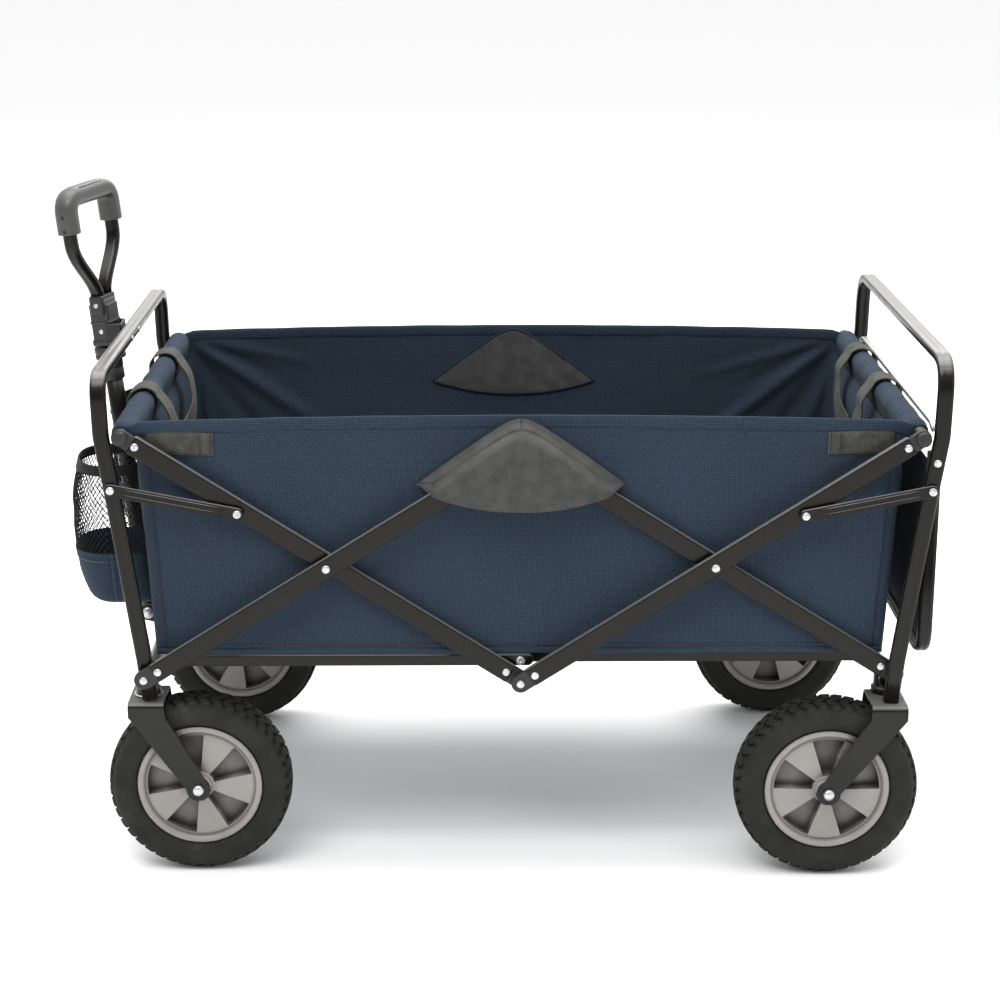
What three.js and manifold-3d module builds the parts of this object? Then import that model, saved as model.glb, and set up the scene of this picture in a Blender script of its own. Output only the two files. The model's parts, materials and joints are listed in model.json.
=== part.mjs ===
// Folding utility wagon for the beach, millimetres, +Z up, standing on Z = 0.
// The front, with the pull handle, is at -X and the left side is at -Y.
// Four scissor arms on each side carry two end frames; the tub hangs from two
// cross tubes at the arms' upper ends.

import * as THREE from 'three';
import { mergeVertices } from 'three/addons/utils/BufferGeometryUtils.js';
import Module from 'manifold-3d';

const manifold = await Module();
manifold.setup();

// ---------- driving dimensions ----------

const CENTRE_SHIFT = 30.94;        // brings the middle of the wagon's box to X = 0

// scissor arms, in the side plane
const ARM_ANGLE = THREE.MathUtils.degToRad(32.3);
const CROSS_TO_LOWER_PIVOT = 237;  // crossing to the pivot on an end frame
const CROSS_TO_MIDDLE = 247;       // crossing to the two pivots on the middle plane
const LOWER_PIVOT = { x: 409.1, z: 231.9 };
const TOP_PIVOT = { x: 424.5, z: 501 };
const ARM_WIDTH = 21.5;
const ARM_TIP_RADIUS = 10;
const PIN_RADIUS = 4.5;
const PIN_HEAD = 2;
const BORE_PAST = 5;               // how far a bore's tool reaches past its layer

// layers in Y, as distances from the middle plane to a layer's inner and outer face
const INNER_LAYER = [241, 249];
const OUTER_LAYER = [252.5, 260.5];
const FRONT_LINK_LAYER = [252, 255.5];
const REAR_LINK_LAYER = [264, 267.5];
const FRONT_RAIL_LAYER = [230, 238];
const REAR_RAIL_LAYER = [219, 227];

// end frames
const FRONT_LEG_Y = 245;
const REAR_LEG_Y = 257;
const HOOP_WIDTH = 17;             // across the side plane
const HOOP_DEPTH = 11;             // along Y in the legs, along Z in the top bar
const HOOP_BEND = 42;
const FRONT_LEG = [[404.6, 206.5], [409.5, 253], [436, 445], [444.5, 502], [446, 566]];
const REAR_LEG = [[404.6, 204.8], [409.5, 253], [436, 445], [444.5, 502], [446, 583]];
const CROSS_BAR = { radius: 8, z: 222 };
const SOCKET_RADIUS = 14;          // where a cross bar takes a fork or a caster
const RAIL_STRAP = { width: 12, gap: 0.8, thickness: 3.2 };

// links between a leg and an arm
const LINK_ON_LEG = { x: 435.9, z: 444.9 };
const LINK_ON_ARM = { x: 302.4, z: 418.4 };
const LINK_WIDTH = 13;
const LINK_PIN_RADIUS = 4;

// folding floor rails
const RAIL_PIVOT = { x: 385, z: 246.5 };
const RAIL_HEIGHT = 13;
const RAIL_OVERLAP = 8;

// wheels
const TYRE_RADIUS = 101.6;
const TYRE_HALF_WIDTH = 24;
const RIM_RADIUS = 73.5;
const WHEEL_STEPS = 24;
const PIN_STEPS = 12;
const AXLE_RADIUS = 5;
const FRONT_WHEEL = { x: -354.9, y: 223.5, topX: -409.5 };
const REAR_WHEEL = { x: 338.7, y: 242, topX: 402.5 };
const FORK_TOP = 203;
const FORK_HALF_WIDTH = 31;
const FORK_SHEET = 3;
const FORK_TOP_HALF_LENGTH = 19;
const FORK_SKIRT = 15;             // height of the fork's upright edges below its top
const AXLE_EYE_RADIUS = 15;
const EYE_TOP = 0.53;              // angles, in radians from the wheel's side, where the fork's
const EYE_BACK = 2.6;              // edges meet its round end
const AXLE_HEAD = { radius: 7.5, height: 5 };
const KINGPIN_RADIUS = 6;
const KINGPIN_HEAD = { radius: 9, height: 3 };

// cross tubes that carry the tub
const TOP_TUBE_RADIUS = 8;
const JOURNAL_RADIUS = 6;          // where the tube passes through the arms
const TUBE_CAP = { radius: 7.8, gap: 1.2, reach: 6 };

// handle
const HANDLE_PIVOT = { x: -438.5, z: 226 };
const HANDLE_LEAN = Math.atan(0.104);
const HANDLE_TURN = THREE.MathUtils.degToRad(20);   // of the grip about the tube, left side forward
const HANDLE_TUBE_RADIUS = 10;
const HANDLE_INNER_RADIUS = 7.6;
const HANDLE_TUBE_LENGTH = 316;
const HANDLE_BOLT = { radius: 4, headRadius: 7, grip: 16, headHeight: 4 };
const BRACKET = { width: 22, tipRadius: 10, halfWidth: 15.5, halfGap: 12, set: 4 };
const COLLAR = { radius: 15.5, skirt: 8, lip: 5 };
const EXTENSION_FOOT = 40;
const COUPLER = { radius: 12.5, low: 322, seatTop: 352, top: 376 };
const CROWN = { halfX: 8, halfY: 16, low: 366, top: 382 };
const LOOP = { halfFoot: 9, halfWidth: 48, foot: 388, shoulder: 446, top: 502, radius: 6.5, bend: 26 };
const GRIP = { halfX: 12.5, halfY: 11, low: 458 };
const CLIP = { halfWidth: 18, wall: 4, reach: 18, drop: 16 };

// rear tray
const TRAY_PIVOT = { x: 440, z: 475 };
const TRAY_BOTTOM = 256;
const TRAY_SECTION = { halfX: 8, halfY: 5.5, bend: 30 };
const TRAY_PIN = { radius: 3.5, end: 255.5 };
const TRAY_CLOTH = { thickness: 3.5, gap: 1.5, corner: 14, clearBottom: 7, clearTop: 12 };

// tub
const TUB = { topX: 412, bottomX: 398, halfY: 234, bottomZ: 258, topZ: 519, wall: 2.5 };
const BOARD = { halfX: 388, halfY: 228, thickness: 6 };
const POCKET = { x: -452, y: 141, bottomZ: 286, wall: 2.5, widthRatio: 1.22 };
const POCKET_PROFILE = [[20, 286], [31, 298], [37.5, 316], [42, 349], [43, 400], [37.5, 450]];

const CLEARANCE = 0.5;

// how finely round shapes are made
const BAR_END_STEPS = 3;
const TUBE_SECTION_STEPS = 4;
const BEND_STEPS = 4;
const PIN_SIDES = 10;
const TUBE_SIDES = 12;

// ---------- materials ----------

function steel(color, roughness = 0.45) {
  return new THREE.MeshStandardMaterial({ color, roughness, metalness: 0.6 });
}

function plain(color, roughness) {
  return new THREE.MeshStandardMaterial({ color, roughness, metalness: 0 });
}

const LOOKS = {
  frame: () => steel(0x26241f),
  forks: () => steel(0x2b2d29),
  zinc: () => steel(0xc9ccce, 0.3),
  plastic: () => plain(0x2a2a2c, 0.55),
  rim: () => plain(0x8a8684, 0.4),
  tyre: () => plain(0x191a18, 0.85),
  canvas: () => plain(0x26384c, 0.9),
  mesh: () => plain(0x15171a, 0.9),
  board: () => plain(0x1c2733, 0.9),
};

// ---------- solids ----------

function asSolid(geometry) {
  const bare = geometry.clone();
  bare.deleteAttribute('normal');
  bare.deleteAttribute('uv');
  const merged = mergeVertices(bare, 1e-4);
  const data = {
    numProp: 3,
    vertProperties: new Float32Array(merged.attributes.position.array),
    triVerts: new Uint32Array(merged.index.array),
  };
  return new manifold.Manifold(new manifold.Mesh(data));
}

function asGeometry(solid) {
  const { vertProperties, triVerts } = solid.getMesh();
  const geometry = new THREE.BufferGeometry();
  geometry.setAttribute('position', new THREE.BufferAttribute(vertProperties, 3));
  geometry.setIndex(new THREE.BufferAttribute(triVerts, 1));
  geometry.computeVertexNormals();
  return geometry;
}

function join(first, ...others) {
  return asGeometry(others.reduce((sum, piece) => sum.add(asSolid(piece)), asSolid(first)));
}

function cut(first, ...tools) {
  return asGeometry(tools.reduce((rest, tool) => rest.subtract(asSolid(tool)), asSolid(first)));
}

// A box between two corners.
function block(low, high) {
  const size = high.map((value, axis) => value - low[axis]);
  const middle = high.map((value, axis) => (value + low[axis]) / 2);
  return new THREE.BoxGeometry(...size).translate(...middle);
}

// A round bar along Y at a point of the side plane.
function pin(point, radius, yLow, yHigh, sides = PIN_SIDES) {
  const bar = new THREE.CylinderGeometry(radius, radius, yHigh - yLow, sides);
  return bar.translate(point.x, (yLow + yHigh) / 2, point.z);
}

// A round bar along Z.
function post(x, y, radius, zLow, zHigh, sides = TUBE_SIDES) {
  const bar = new THREE.CylinderGeometry(radius, radius, zHigh - zLow, sides);
  return bar.rotateX(Math.PI / 2).translate(x, y, (zLow + zHigh) / 2);
}

// An outline of the side plane (X, Z), made solid between two values of Y.
function sidePlate(outline, yLow, yHigh, curveSegments = BAR_END_STEPS) {
  const plate = new THREE.ExtrudeGeometry(outline, {
    depth: yHigh - yLow, bevelEnabled: false, curveSegments,
  });
  return plate.rotateX(Math.PI / 2).translate(0, yHigh, 0);
}

// The outline of a bar with round ends between two points of the side plane.
function barOutline(from, to, width, tipRadius = width / 2) {
  const angle = Math.atan2(to.z - from.z, to.x - from.x);
  const length = Math.hypot(to.z - from.z, to.x - from.x);
  const side = Math.asin((width / 2 - tipRadius) / length) || 0;
  const shape = new THREE.Shape();
  const turn = angle + side;
  shape.absarc(from.x, from.z, width / 2, turn + Math.PI / 2, angle - side + 1.5 * Math.PI);
  shape.absarc(to.x, to.z, tipRadius, angle - side - Math.PI / 2, turn + Math.PI / 2);
  return shape;
}

// Mirrors a layer of the left side (-Y) or right side (+Y) into [yLow, yHigh].
function layerAt(side, [inner, outer]) {
  return side < 0 ? [-outer, -inner] : [inner, outer];
}

// A path whose cross-section keeps one direction, so that a tube doesn't twist.
class BentPath extends THREE.Curve {
  constructor(stations, across) {
    super();
    this.stations = stations;
    this.across = across;
  }

  getPoint(t) {
    return this.stations[Math.round(t * (this.stations.length - 1))].clone();
  }

  getSpacedPoints() {
    return this.stations;
  }

  computeFrenetFrames() {
    const last = this.stations.length - 1;
    const tangents = this.stations.map((_, i) => this.stations[Math.min(i + 1, last)].clone()
      .sub(this.stations[Math.max(i - 1, 0)]).normalize());
    const normals = tangents.map((tangent) => this.across.clone()
      .addScaledVector(tangent, -this.across.dot(tangent)).normalize());
    const binormals = tangents.map((tangent, i) => tangent.clone().cross(normals[i]));
    return { tangents, normals, binormals };
  }
}

// Points along a path with its corners rounded to arcs of a given radius.
function rounded(points, radius, steps = BEND_STEPS) {
  const stations = [points[0]];
  for (let i = 1; i < points.length - 1; i += 1) {
    const back = points[i - 1].clone().sub(points[i]).normalize();
    const on = points[i + 1].clone().sub(points[i]).normalize();
    const half = back.angleTo(on) / 2;
    if (half > 1.45) {
      stations.push(points[i]);
      continue;
    }
    const reach = Math.min(radius / Math.tan(half), points[i].distanceTo(points[i + 1]) * 0.48);
    const bend = new THREE.QuadraticBezierCurve3(
      points[i].clone().addScaledVector(back, reach),
      points[i],
      points[i].clone().addScaledVector(on, reach),
    );
    stations.push(...bend.getPoints(steps));
  }
  stations.push(points[points.length - 1]);
  return stations;
}

function ellipse(halfAcross, halfOther, hole = 0) {
  const shape = new THREE.Shape();
  shape.absellipse(0, 0, halfAcross, halfOther, 0, 2 * Math.PI);
  if (hole > 0) {
    const bore = new THREE.Path();
    bore.absellipse(0, 0, hole, hole, 0, 2 * Math.PI, true);
    shape.holes.push(bore);
  }
  return shape;
}

function tubeAlong(stations, section, across, curveSegments = TUBE_SECTION_STEPS) {
  return new THREE.ExtrudeGeometry(section, {
    steps: stations.length - 1,
    extrudePath: new BentPath(stations, across),
    bevelEnabled: false,
    curveSegments,
  });
}

// ---------- scissor frame ----------

const CROSSING = {
  x: LOWER_PIVOT.x - CROSS_TO_LOWER_PIVOT * Math.cos(ARM_ANGLE),
  z: LOWER_PIVOT.z + CROSS_TO_LOWER_PIVOT * Math.sin(ARM_ANGLE),
};
const LOWER_MIDDLE = { x: 0, z: CROSSING.z - CROSS_TO_MIDDLE * Math.sin(ARM_ANGLE) };
const UPPER_MIDDLE = { x: 0, z: CROSSING.z + CROSS_TO_MIDDLE * Math.sin(ARM_ANGLE) };

// end is -1 for the front and 1 for the rear
function at(end, point) {
  return { x: end * point.x, z: point.z };
}

// An arm from its pivot on the middle plane to a corner, with the pins that it carries:
// those that go through an inner arm, and those that end at a leg.
function arm(middle, corner, tipRadius, layer, side, throughPins = [], shortPins = []) {
  const plate = sidePlate(barOutline(middle, corner, ARM_WIDTH, tipRadius), ...layerAt(side, layer));
  const outer = layer[1] + PIN_HEAD;
  const through = throughPins.map((point) => (
    pin(point, PIN_RADIUS, ...layerAt(side, [INNER_LAYER[0] - 1, outer]))));
  const short = shortPins.map((point) => (
    pin(point, PIN_RADIUS, ...layerAt(side, [layer[0] - 1, outer]))));
  return join(plate, ...through, ...short);
}

// Holes in an inner arm for the outer arm's pins.
function pinHoles(points, side) {
  const depth = layerAt(side, [INNER_LAYER[0] - BORE_PAST, INNER_LAYER[1] + BORE_PAST]);
  return points.map((point) => pin(point, PIN_RADIUS + CLEARANCE, ...depth));
}

// The arm that runs from the middle's lower pivot up to a cross tube.
function upperArm(end, side) {
  const layer = end < 0 ? INNER_LAYER : OUTER_LAYER;
  const corner = at(end, TOP_PIVOT);
  const pivots = [LOWER_MIDDLE, at(end, CROSSING)];
  const solid = arm(LOWER_MIDDLE, corner, ARM_TIP_RADIUS, layer, side, end < 0 ? [] : pivots);
  const depth = layerAt(side, [layer[0] - BORE_PAST, layer[1] + BORE_PAST]);
  const bore = pin(corner, JOURNAL_RADIUS + CLEARANCE, ...depth, TUBE_SIDES);
  return cut(solid, bore, ...(end < 0 ? pinHoles(pivots, side) : []));
}

// The arm that runs from an end frame's lower pivot up to the middle's upper pivot.
function lowerArm(end, side) {
  const layer = end < 0 ? OUTER_LAYER : INNER_LAYER;
  const corner = at(end, LOWER_PIVOT);
  const pivots = [at(end, CROSSING), UPPER_MIDDLE];
  if (end < 0) return arm(UPPER_MIDDLE, corner, ARM_WIDTH / 2, layer, side, pivots, [corner]);
  return cut(arm(UPPER_MIDDLE, corner, ARM_WIDTH / 2, layer, side), ...pinHoles(pivots, side));
}

function link(end, side) {
  const layer = end < 0 ? FRONT_LINK_LAYER : REAR_LINK_LAYER;
  const [yLow, yHigh] = layerAt(side, layer);
  const ends = [at(end, LINK_ON_LEG), at(end, LINK_ON_ARM)];
  const reach = layerAt(side, [layer[0] - 1, layer[1] + PIN_HEAD]);
  const heads = ends.map((point) => pin(point, LINK_PIN_RADIUS, ...reach));
  return join(sidePlate(barOutline(...ends, LINK_WIDTH), yLow, yHigh), ...heads);
}

// A floor rail from its bracket to just past the middle plane.
function rail(end, side) {
  const layer = end < 0 ? FRONT_RAIL_LAYER : REAR_RAIL_LAYER;
  const inner = { x: -end * RAIL_OVERLAP, z: RAIL_PIVOT.z };
  return sidePlate(barOutline(at(end, RAIL_PIVOT), inner, RAIL_HEIGHT), ...layerAt(side, layer));
}

// A cross tube, reduced where it passes through the arms, and its two end caps.
function topTube(end) {
  const layer = end < 0 ? INNER_LAYER : OUTER_LAYER;
  const body = pin(at(end, TOP_PIVOT), TOP_TUBE_RADIUS, -layer[0] + 1.5, layer[0] - 1.5, TUBE_SIDES);
  const reach = layer[1] + 0.8;
  const journal = pin(at(end, TOP_PIVOT), JOURNAL_RADIUS, -reach, reach, TUBE_SIDES);
  return join(body, journal);
}

function topCap(end, side) {
  const layer = end < 0 ? INNER_LAYER : OUTER_LAYER;
  const span = layerAt(side, [layer[1] + TUBE_CAP.gap, layer[1] + TUBE_CAP.reach]);
  return pin(at(end, TOP_PIVOT), TUBE_CAP.radius, ...span, TUBE_SIDES);
}

// ---------- end frames ----------

function hoop(end) {
  const leg = end < 0 ? FRONT_LEG : REAR_LEG;
  const legY = end < 0 ? FRONT_LEG_Y : REAR_LEG_Y;
  const up = leg.map(([x, z]) => new THREE.Vector3(end * x, -legY, z));
  const down = leg.map(([x, z]) => new THREE.Vector3(end * x, legY, z)).reverse();
  const section = ellipse(HOOP_WIDTH / 2, HOOP_DEPTH / 2);
  const path = rounded([...up, ...down], HOOP_BEND);
  const tube = tubeAlong(path, section, new THREE.Vector3(1, 0, 0));
  if (end < 0) return tube;
  const depth = [FRONT_LEG_Y, TRAY_PIN.end + CLEARANCE];
  const bores = [-1, 1].map((side) => (
    pin(TRAY_PIVOT, TRAY_PIN.radius + CLEARANCE, ...layerAt(side, depth))));
  return cut(tube, ...bores);
}

// The bar between the feet of an end frame, with the straps that hold the floor rails.
function crossBar(end) {
  const x = end < 0 ? FRONT_WHEEL.topX : REAR_WHEEL.topX;
  const reach = FRONT_LEG_Y - HOOP_DEPTH / 2 - CLEARANCE;
  const bar = pin({ x, z: CROSS_BAR.z }, CROSS_BAR.radius, -reach, reach, TUBE_SIDES);
  const foot = end < 0 ? FORK_TOP + 2.5 : FORK_TOP + CLEARANCE;
  const rails = end < 0 ? FRONT_RAIL_LAYER : REAR_RAIL_LAYER;
  const socketY = FRONT_WHEEL.y;
  const extras = [-1, 1].flatMap((side) => {
    const strap = barOutline({ x, z: CROSS_BAR.z }, at(end, RAIL_PIVOT), RAIL_STRAP.width);
    const strapFace = rails[0] - RAIL_STRAP.gap;
    const strapLayer = layerAt(side, [strapFace - RAIL_STRAP.thickness, strapFace]);
    return [
      post(x, side * socketY, SOCKET_RADIUS, foot, CROSS_BAR.z + CROSS_BAR.radius),
      sidePlate(strap, ...strapLayer),
    ];
  });
  const solid = join(bar, ...extras);
  if (end > 0) return solid;
  const bores = [-1, 1].map((side) => (
    post(x, side * socketY, KINGPIN_RADIUS + CLEARANCE, foot - BORE_PAST, CROSS_BAR.z + 20)));
  return cut(solid, ...bores);
}

function kingpin(side) {
  const { topX: x, y } = FRONT_WHEEL;
  const under = FORK_TOP - FORK_SHEET - CLEARANCE;
  const shank = post(x, side * y, KINGPIN_RADIUS, under - 2, CROSS_BAR.z + 6);
  const head = post(x, side * y, KINGPIN_HEAD.radius, under - 2 - KINGPIN_HEAD.height, under);
  return join(shank, head);
}

// ---------- wheels ----------

// A channel of folded sheet: a top plate with two cheeks that slant to the axle.
function fork(wheel, side, hasKingpin) {
  const lean = Math.sign(wheel.x - wheel.topX);
  const outer = wheel.topX - lean * FORK_TOP_HALF_LENGTH;
  const inner = wheel.topX + lean * FORK_TOP_HALF_LENGTH;
  const axle = { x: wheel.x, z: TYRE_RADIUS };
  const cheek = new THREE.Shape();
  cheek.moveTo(outer, FORK_TOP);
  cheek.lineTo(inner, FORK_TOP);
  cheek.lineTo(inner + lean * 2, FORK_TOP - FORK_SKIRT);
  cheek.absarc(axle.x, axle.z, AXLE_EYE_RADIUS, lean > 0 ? EYE_TOP : Math.PI - EYE_TOP,
    lean > 0 ? -EYE_BACK : Math.PI + EYE_BACK, lean > 0);
  cheek.lineTo(outer, FORK_TOP - FORK_SKIRT);
  const y = side * wheel.y;
  const body = sidePlate(cheek, y - FORK_HALF_WIDTH, y + FORK_HALF_WIDTH);
  const gap = FORK_HALF_WIDTH - FORK_SHEET;
  const tools = [
    block([wheel.x - 200, y - gap, 0], [wheel.x + 200, y + gap, FORK_TOP - FORK_SHEET]),
    pin(axle, AXLE_RADIUS + CLEARANCE, y - 40, y + 40),
  ];
  if (hasKingpin) {
    tools.push(post(wheel.topX, y, KINGPIN_RADIUS + CLEARANCE, FORK_TOP - 20, FORK_TOP + 20));
  }
  return cut(body, ...tools);
}

// A wheel piece turned about Y from an outline of (radius, Y) points.
function turned(outline, steps = WHEEL_STEPS) {
  const points = outline.map(([radius, y]) => new THREE.Vector2(radius, y));
  return new THREE.LatheGeometry(points, steps);
}

function tyreGeometry() {
  const inner = RIM_RADIUS + CLEARANCE;
  const tread = [[inner, 17], [82, 22.5], [92, TYRE_HALF_WIDTH], [98.5, 20], [TYRE_RADIUS, 12]];
  const back = tread.map(([radius, y]) => [radius, -y]);
  return turned([...back, ...tread.reverse(), back[0]]);
}

function rimGeometry() {
  const half = [[6, 25], [16, 25], [20, 9], [64, 9], [67, 18.5], [RIM_RADIUS, 18.5]];
  const back = half.map(([radius, y]) => [radius, -y]);
  return turned([...back, ...half.reverse(), back[0]]);
}

// A bolt along Y with a head at each end, whose grip is the reach under a head.
function bolt(radius, grip, headRadius, headHeight) {
  const half = [[0, grip + headHeight], [headRadius, grip + headHeight], [headRadius, grip], [radius, grip]];
  const back = half.map(([distance, y]) => [distance, -y]);
  return turned([...back, ...half.reverse()], PIN_STEPS);
}

function axleBolt() {
  return bolt(AXLE_RADIUS, FORK_HALF_WIDTH + CLEARANCE, AXLE_HEAD.radius, AXLE_HEAD.height);
}

// ---------- pull handle ----------

// Places a piece made along +Z from the origin onto the leaning handle.
function onHandle(geometry) {
  return geometry.rotateY(-HANDLE_LEAN).translate(HANDLE_PIVOT.x, 0, HANDLE_PIVOT.z);
}

// The same for a piece of the head, which is turned about the tube.
function onHead(geometry) {
  return onHandle(geometry.rotateZ(-HANDLE_TURN));
}

// A round sleeve along Z, from one distance above the handle's pivot to another.
function sleeve(radius, bore, low, high, sides = TUBE_SIDES) {
  return new THREE.LatheGeometry([
    new THREE.Vector2(bore, low), new THREE.Vector2(radius, low),
    new THREE.Vector2(radius, high), new THREE.Vector2(bore, high),
    new THREE.Vector2(bore, low),
  ], sides).rotateX(Math.PI / 2);
}

function handleBracket() {
  const { x, z } = HANDLE_PIVOT;
  const back = FRONT_WHEEL.topX - CROSS_BAR.radius - CLEARANCE;
  const foot = { x: back - BRACKET.set, z: z - BRACKET.set };
  const outline = barOutline(foot, { x, z }, BRACKET.width, BRACKET.tipRadius);
  const cheeks = sidePlate(outline, -BRACKET.halfWidth, BRACKET.halfWidth);
  const room = block([x - 60, -BRACKET.halfGap, z - 60], [back - 3, BRACKET.halfGap, z + 60]);
  const trim = block([back, -30, z - 60], [back + 60, 30, z + 60]);
  const eye = pin(HANDLE_PIVOT, HANDLE_BOLT.radius + CLEARANCE, -30, 30);
  return cut(cheeks, room, trim, eye);
}

function handleBolt() {
  return bolt(HANDLE_BOLT.radius, HANDLE_BOLT.grip, HANDLE_BOLT.headRadius, HANDLE_BOLT.headHeight);
}

function handleLowerTube() {
  const bore = HANDLE_INNER_RADIUS + CLEARANCE;
  const tube = sleeve(HANDLE_TUBE_RADIUS, bore, 12, HANDLE_TUBE_LENGTH);
  const foot = post(0, 0, HANDLE_TUBE_RADIUS, -12, 14);
  const eye = pin({ x: 0, z: 0 }, HANDLE_BOLT.radius + CLEARANCE, -30, 30);
  return onHandle(cut(join(tube, foot), eye));
}

function handleCollar() {
  const top = HANDLE_TUBE_LENGTH + 1;
  const skirt = sleeve(COLLAR.radius, HANDLE_TUBE_RADIUS + CLEARANCE, HANDLE_TUBE_LENGTH - COLLAR.skirt, top);
  const lip = sleeve(COLLAR.radius, HANDLE_INNER_RADIUS + CLEARANCE, top - 0.4,
    HANDLE_TUBE_LENGTH + COLLAR.lip);
  return onHandle(join(skirt, lip));
}

function handleInnerTube() {
  return onHandle(post(0, 0, HANDLE_INNER_RADIUS, EXTENSION_FOOT, COUPLER.seatTop - 2));
}

function handleCoupler() {
  const body = post(0, 0, COUPLER.radius, COUPLER.low, COUPLER.top);
  const seat = post(0, 0, HANDLE_INNER_RADIUS + CLEARANCE, COUPLER.low - BORE_PAST, COUPLER.seatTop);
  const crown = block([-CROWN.halfX, -CROWN.halfY, CROWN.low], [CROWN.halfX, CROWN.halfY, CROWN.top]);
  return onHead(cut(join(body, crown), seat));
}

function loopPath() {
  const { halfFoot, halfWidth, foot, shoulder, top, bend } = LOOP;
  const half = [[-halfFoot, foot], [-halfWidth, shoulder], [-halfWidth, top]];
  const corners = [...half, ...half.map(([y, z]) => [-y, z]).reverse()];
  return rounded(corners.map(([y, z]) => new THREE.Vector3(0, y, z)), bend);
}

function handleLoop() {
  return onHead(tubeAlong(loopPath(), ellipse(LOOP.radius, LOOP.radius), new THREE.Vector3(1, 0, 0)));
}

function handleGrip() {
  const path = loopPath().filter((point) => point.z > GRIP.low);
  const section = ellipse(GRIP.halfX, GRIP.halfY, LOOP.radius + CLEARANCE);
  return onHead(tubeAlong(path, section, new THREE.Vector3(1, 0, 0)));
}

// A clip on the front hoop's top bar, open to the front, that holds the upright handle.
function handleClip() {
  const bar = FRONT_LEG[FRONT_LEG.length - 1];
  const low = bar[1] + HOOP_DEPTH / 2 + CLEARANCE;
  const high = low + CLIP.wall;
  const face = -bar[0] - HOOP_WIDTH / 2;
  const { halfWidth, wall, reach, drop } = CLIP;
  const saddle = block([face - 1, -halfWidth, low], [face + HOOP_WIDTH + 1, halfWidth, high]);
  const jaws = [[-halfWidth, wall - halfWidth], [halfWidth - wall, halfWidth]].map(([near, far]) => (
    block([face - reach, near, low - drop], [face - CLEARANCE, far, high])));
  return join(saddle, ...jaws);
}

// ---------- rear tray ----------

function trayFrame() {
  const { x, z } = TRAY_PIVOT;
  const y = FRONT_LEG_Y;
  const top = z + 8;
  const corners = [[-y, top], [-y, TRAY_BOTTOM], [y, TRAY_BOTTOM], [y, top]]
    .map(([cornerY, cornerZ]) => new THREE.Vector3(x, cornerY, cornerZ));
  const section = ellipse(TRAY_SECTION.halfX, TRAY_SECTION.halfY);
  const tube = tubeAlong(rounded(corners, TRAY_SECTION.bend), section, new THREE.Vector3(1, 0, 0));
  const pins = [-1, 1].map((side) => (
    pin(TRAY_PIVOT, TRAY_PIN.radius, ...layerAt(side, [y, TRAY_PIN.end]))));
  return join(tube, ...pins);
}

// The cloth inside the frame, with its lower corners cut off clear of the frame's bends.
function trayPanel() {
  const y = FRONT_LEG_Y - TRAY_SECTION.halfY - TRAY_CLOTH.gap;
  const low = TRAY_BOTTOM + TRAY_CLOTH.clearBottom;
  const top = TRAY_PIVOT.z - TRAY_CLOTH.clearTop;
  const corner = TRAY_CLOTH.corner;
  const outline = [[-y, top], [-y, low + corner], [-y + corner, low],
    [y - corner, low], [y, low + corner], [y, top]];
  const shape = new THREE.Shape(outline.map(([across, z]) => new THREE.Vector2(across, z)));
  const sheet = new THREE.ExtrudeGeometry(shape, { depth: TRAY_CLOTH.thickness, bevelEnabled: false });
  return sheet.rotateX(Math.PI / 2).rotateZ(Math.PI / 2).translate(TRAY_PIVOT.x - 2, 0, 0);
}

// ---------- soft goods ----------

function tubOutline(inset, top) {
  const bottomX = TUB.bottomX - inset;
  const topX = TUB.topX - inset;
  return new THREE.Shape([
    new THREE.Vector2(-bottomX, TUB.bottomZ + inset), new THREE.Vector2(bottomX, TUB.bottomZ + inset),
    new THREE.Vector2(topX, top), new THREE.Vector2(-topX, top),
  ]);
}

function tub() {
  const outer = sidePlate(tubOutline(0, TUB.topZ), -TUB.halfY, TUB.halfY);
  const inner = TUB.halfY - TUB.wall;
  return cut(outer, sidePlate(tubOutline(TUB.wall, TUB.topZ + 5), -inner, inner));
}

function floorBoard() {
  const low = TUB.bottomZ + TUB.wall + CLEARANCE;
  return block([-BOARD.halfX, -BOARD.halfY, low], [BOARD.halfX, BOARD.halfY, low + BOARD.thickness]);
}

// An open bag on the front wall: an oval cup that swells in the middle, wider along Y.
function cupPocket(side) {
  const { bottomZ, wall, widthRatio } = POCKET;
  const inner = POCKET_PROFILE.map(([radius, z]) => [radius - wall, Math.max(z, bottomZ + wall)]);
  const outline = [[0, bottomZ], ...POCKET_PROFILE, ...inner.reverse(), [0, bottomZ + wall]]
    .map(([distance, z]) => new THREE.Vector2(distance, z));
  const cup = new THREE.LatheGeometry(outline, WHEEL_STEPS).rotateX(Math.PI / 2);
  return cup.scale(1, widthRatio, 1).translate(POCKET.x, side * POCKET.y, 0);
}

// ---------- assembly ----------

const wagon = new THREE.Group();
wagon.position.x = CENTRE_SHIFT;

function place(name, geometry, look, position = [0, 0, 0]) {
  const mesh = new THREE.Mesh(geometry, LOOKS[look]());
  mesh.name = name;
  mesh.position.set(...position);
  wagon.add(mesh);
}

function placeWheel(name, wheel, side, hasKingpin) {
  const centre = [wheel.x, side * wheel.y, TYRE_RADIUS];
  place(`${name}_fork`, fork(wheel, side, hasKingpin), 'forks');
  place(`${name}_tyre`, tyreGeometry(), 'tyre', centre);
  place(`${name}_rim`, rimGeometry(), 'rim', centre);
  place(`${name}_axle_bolt`, axleBolt(), 'zinc', centre);
}

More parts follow.
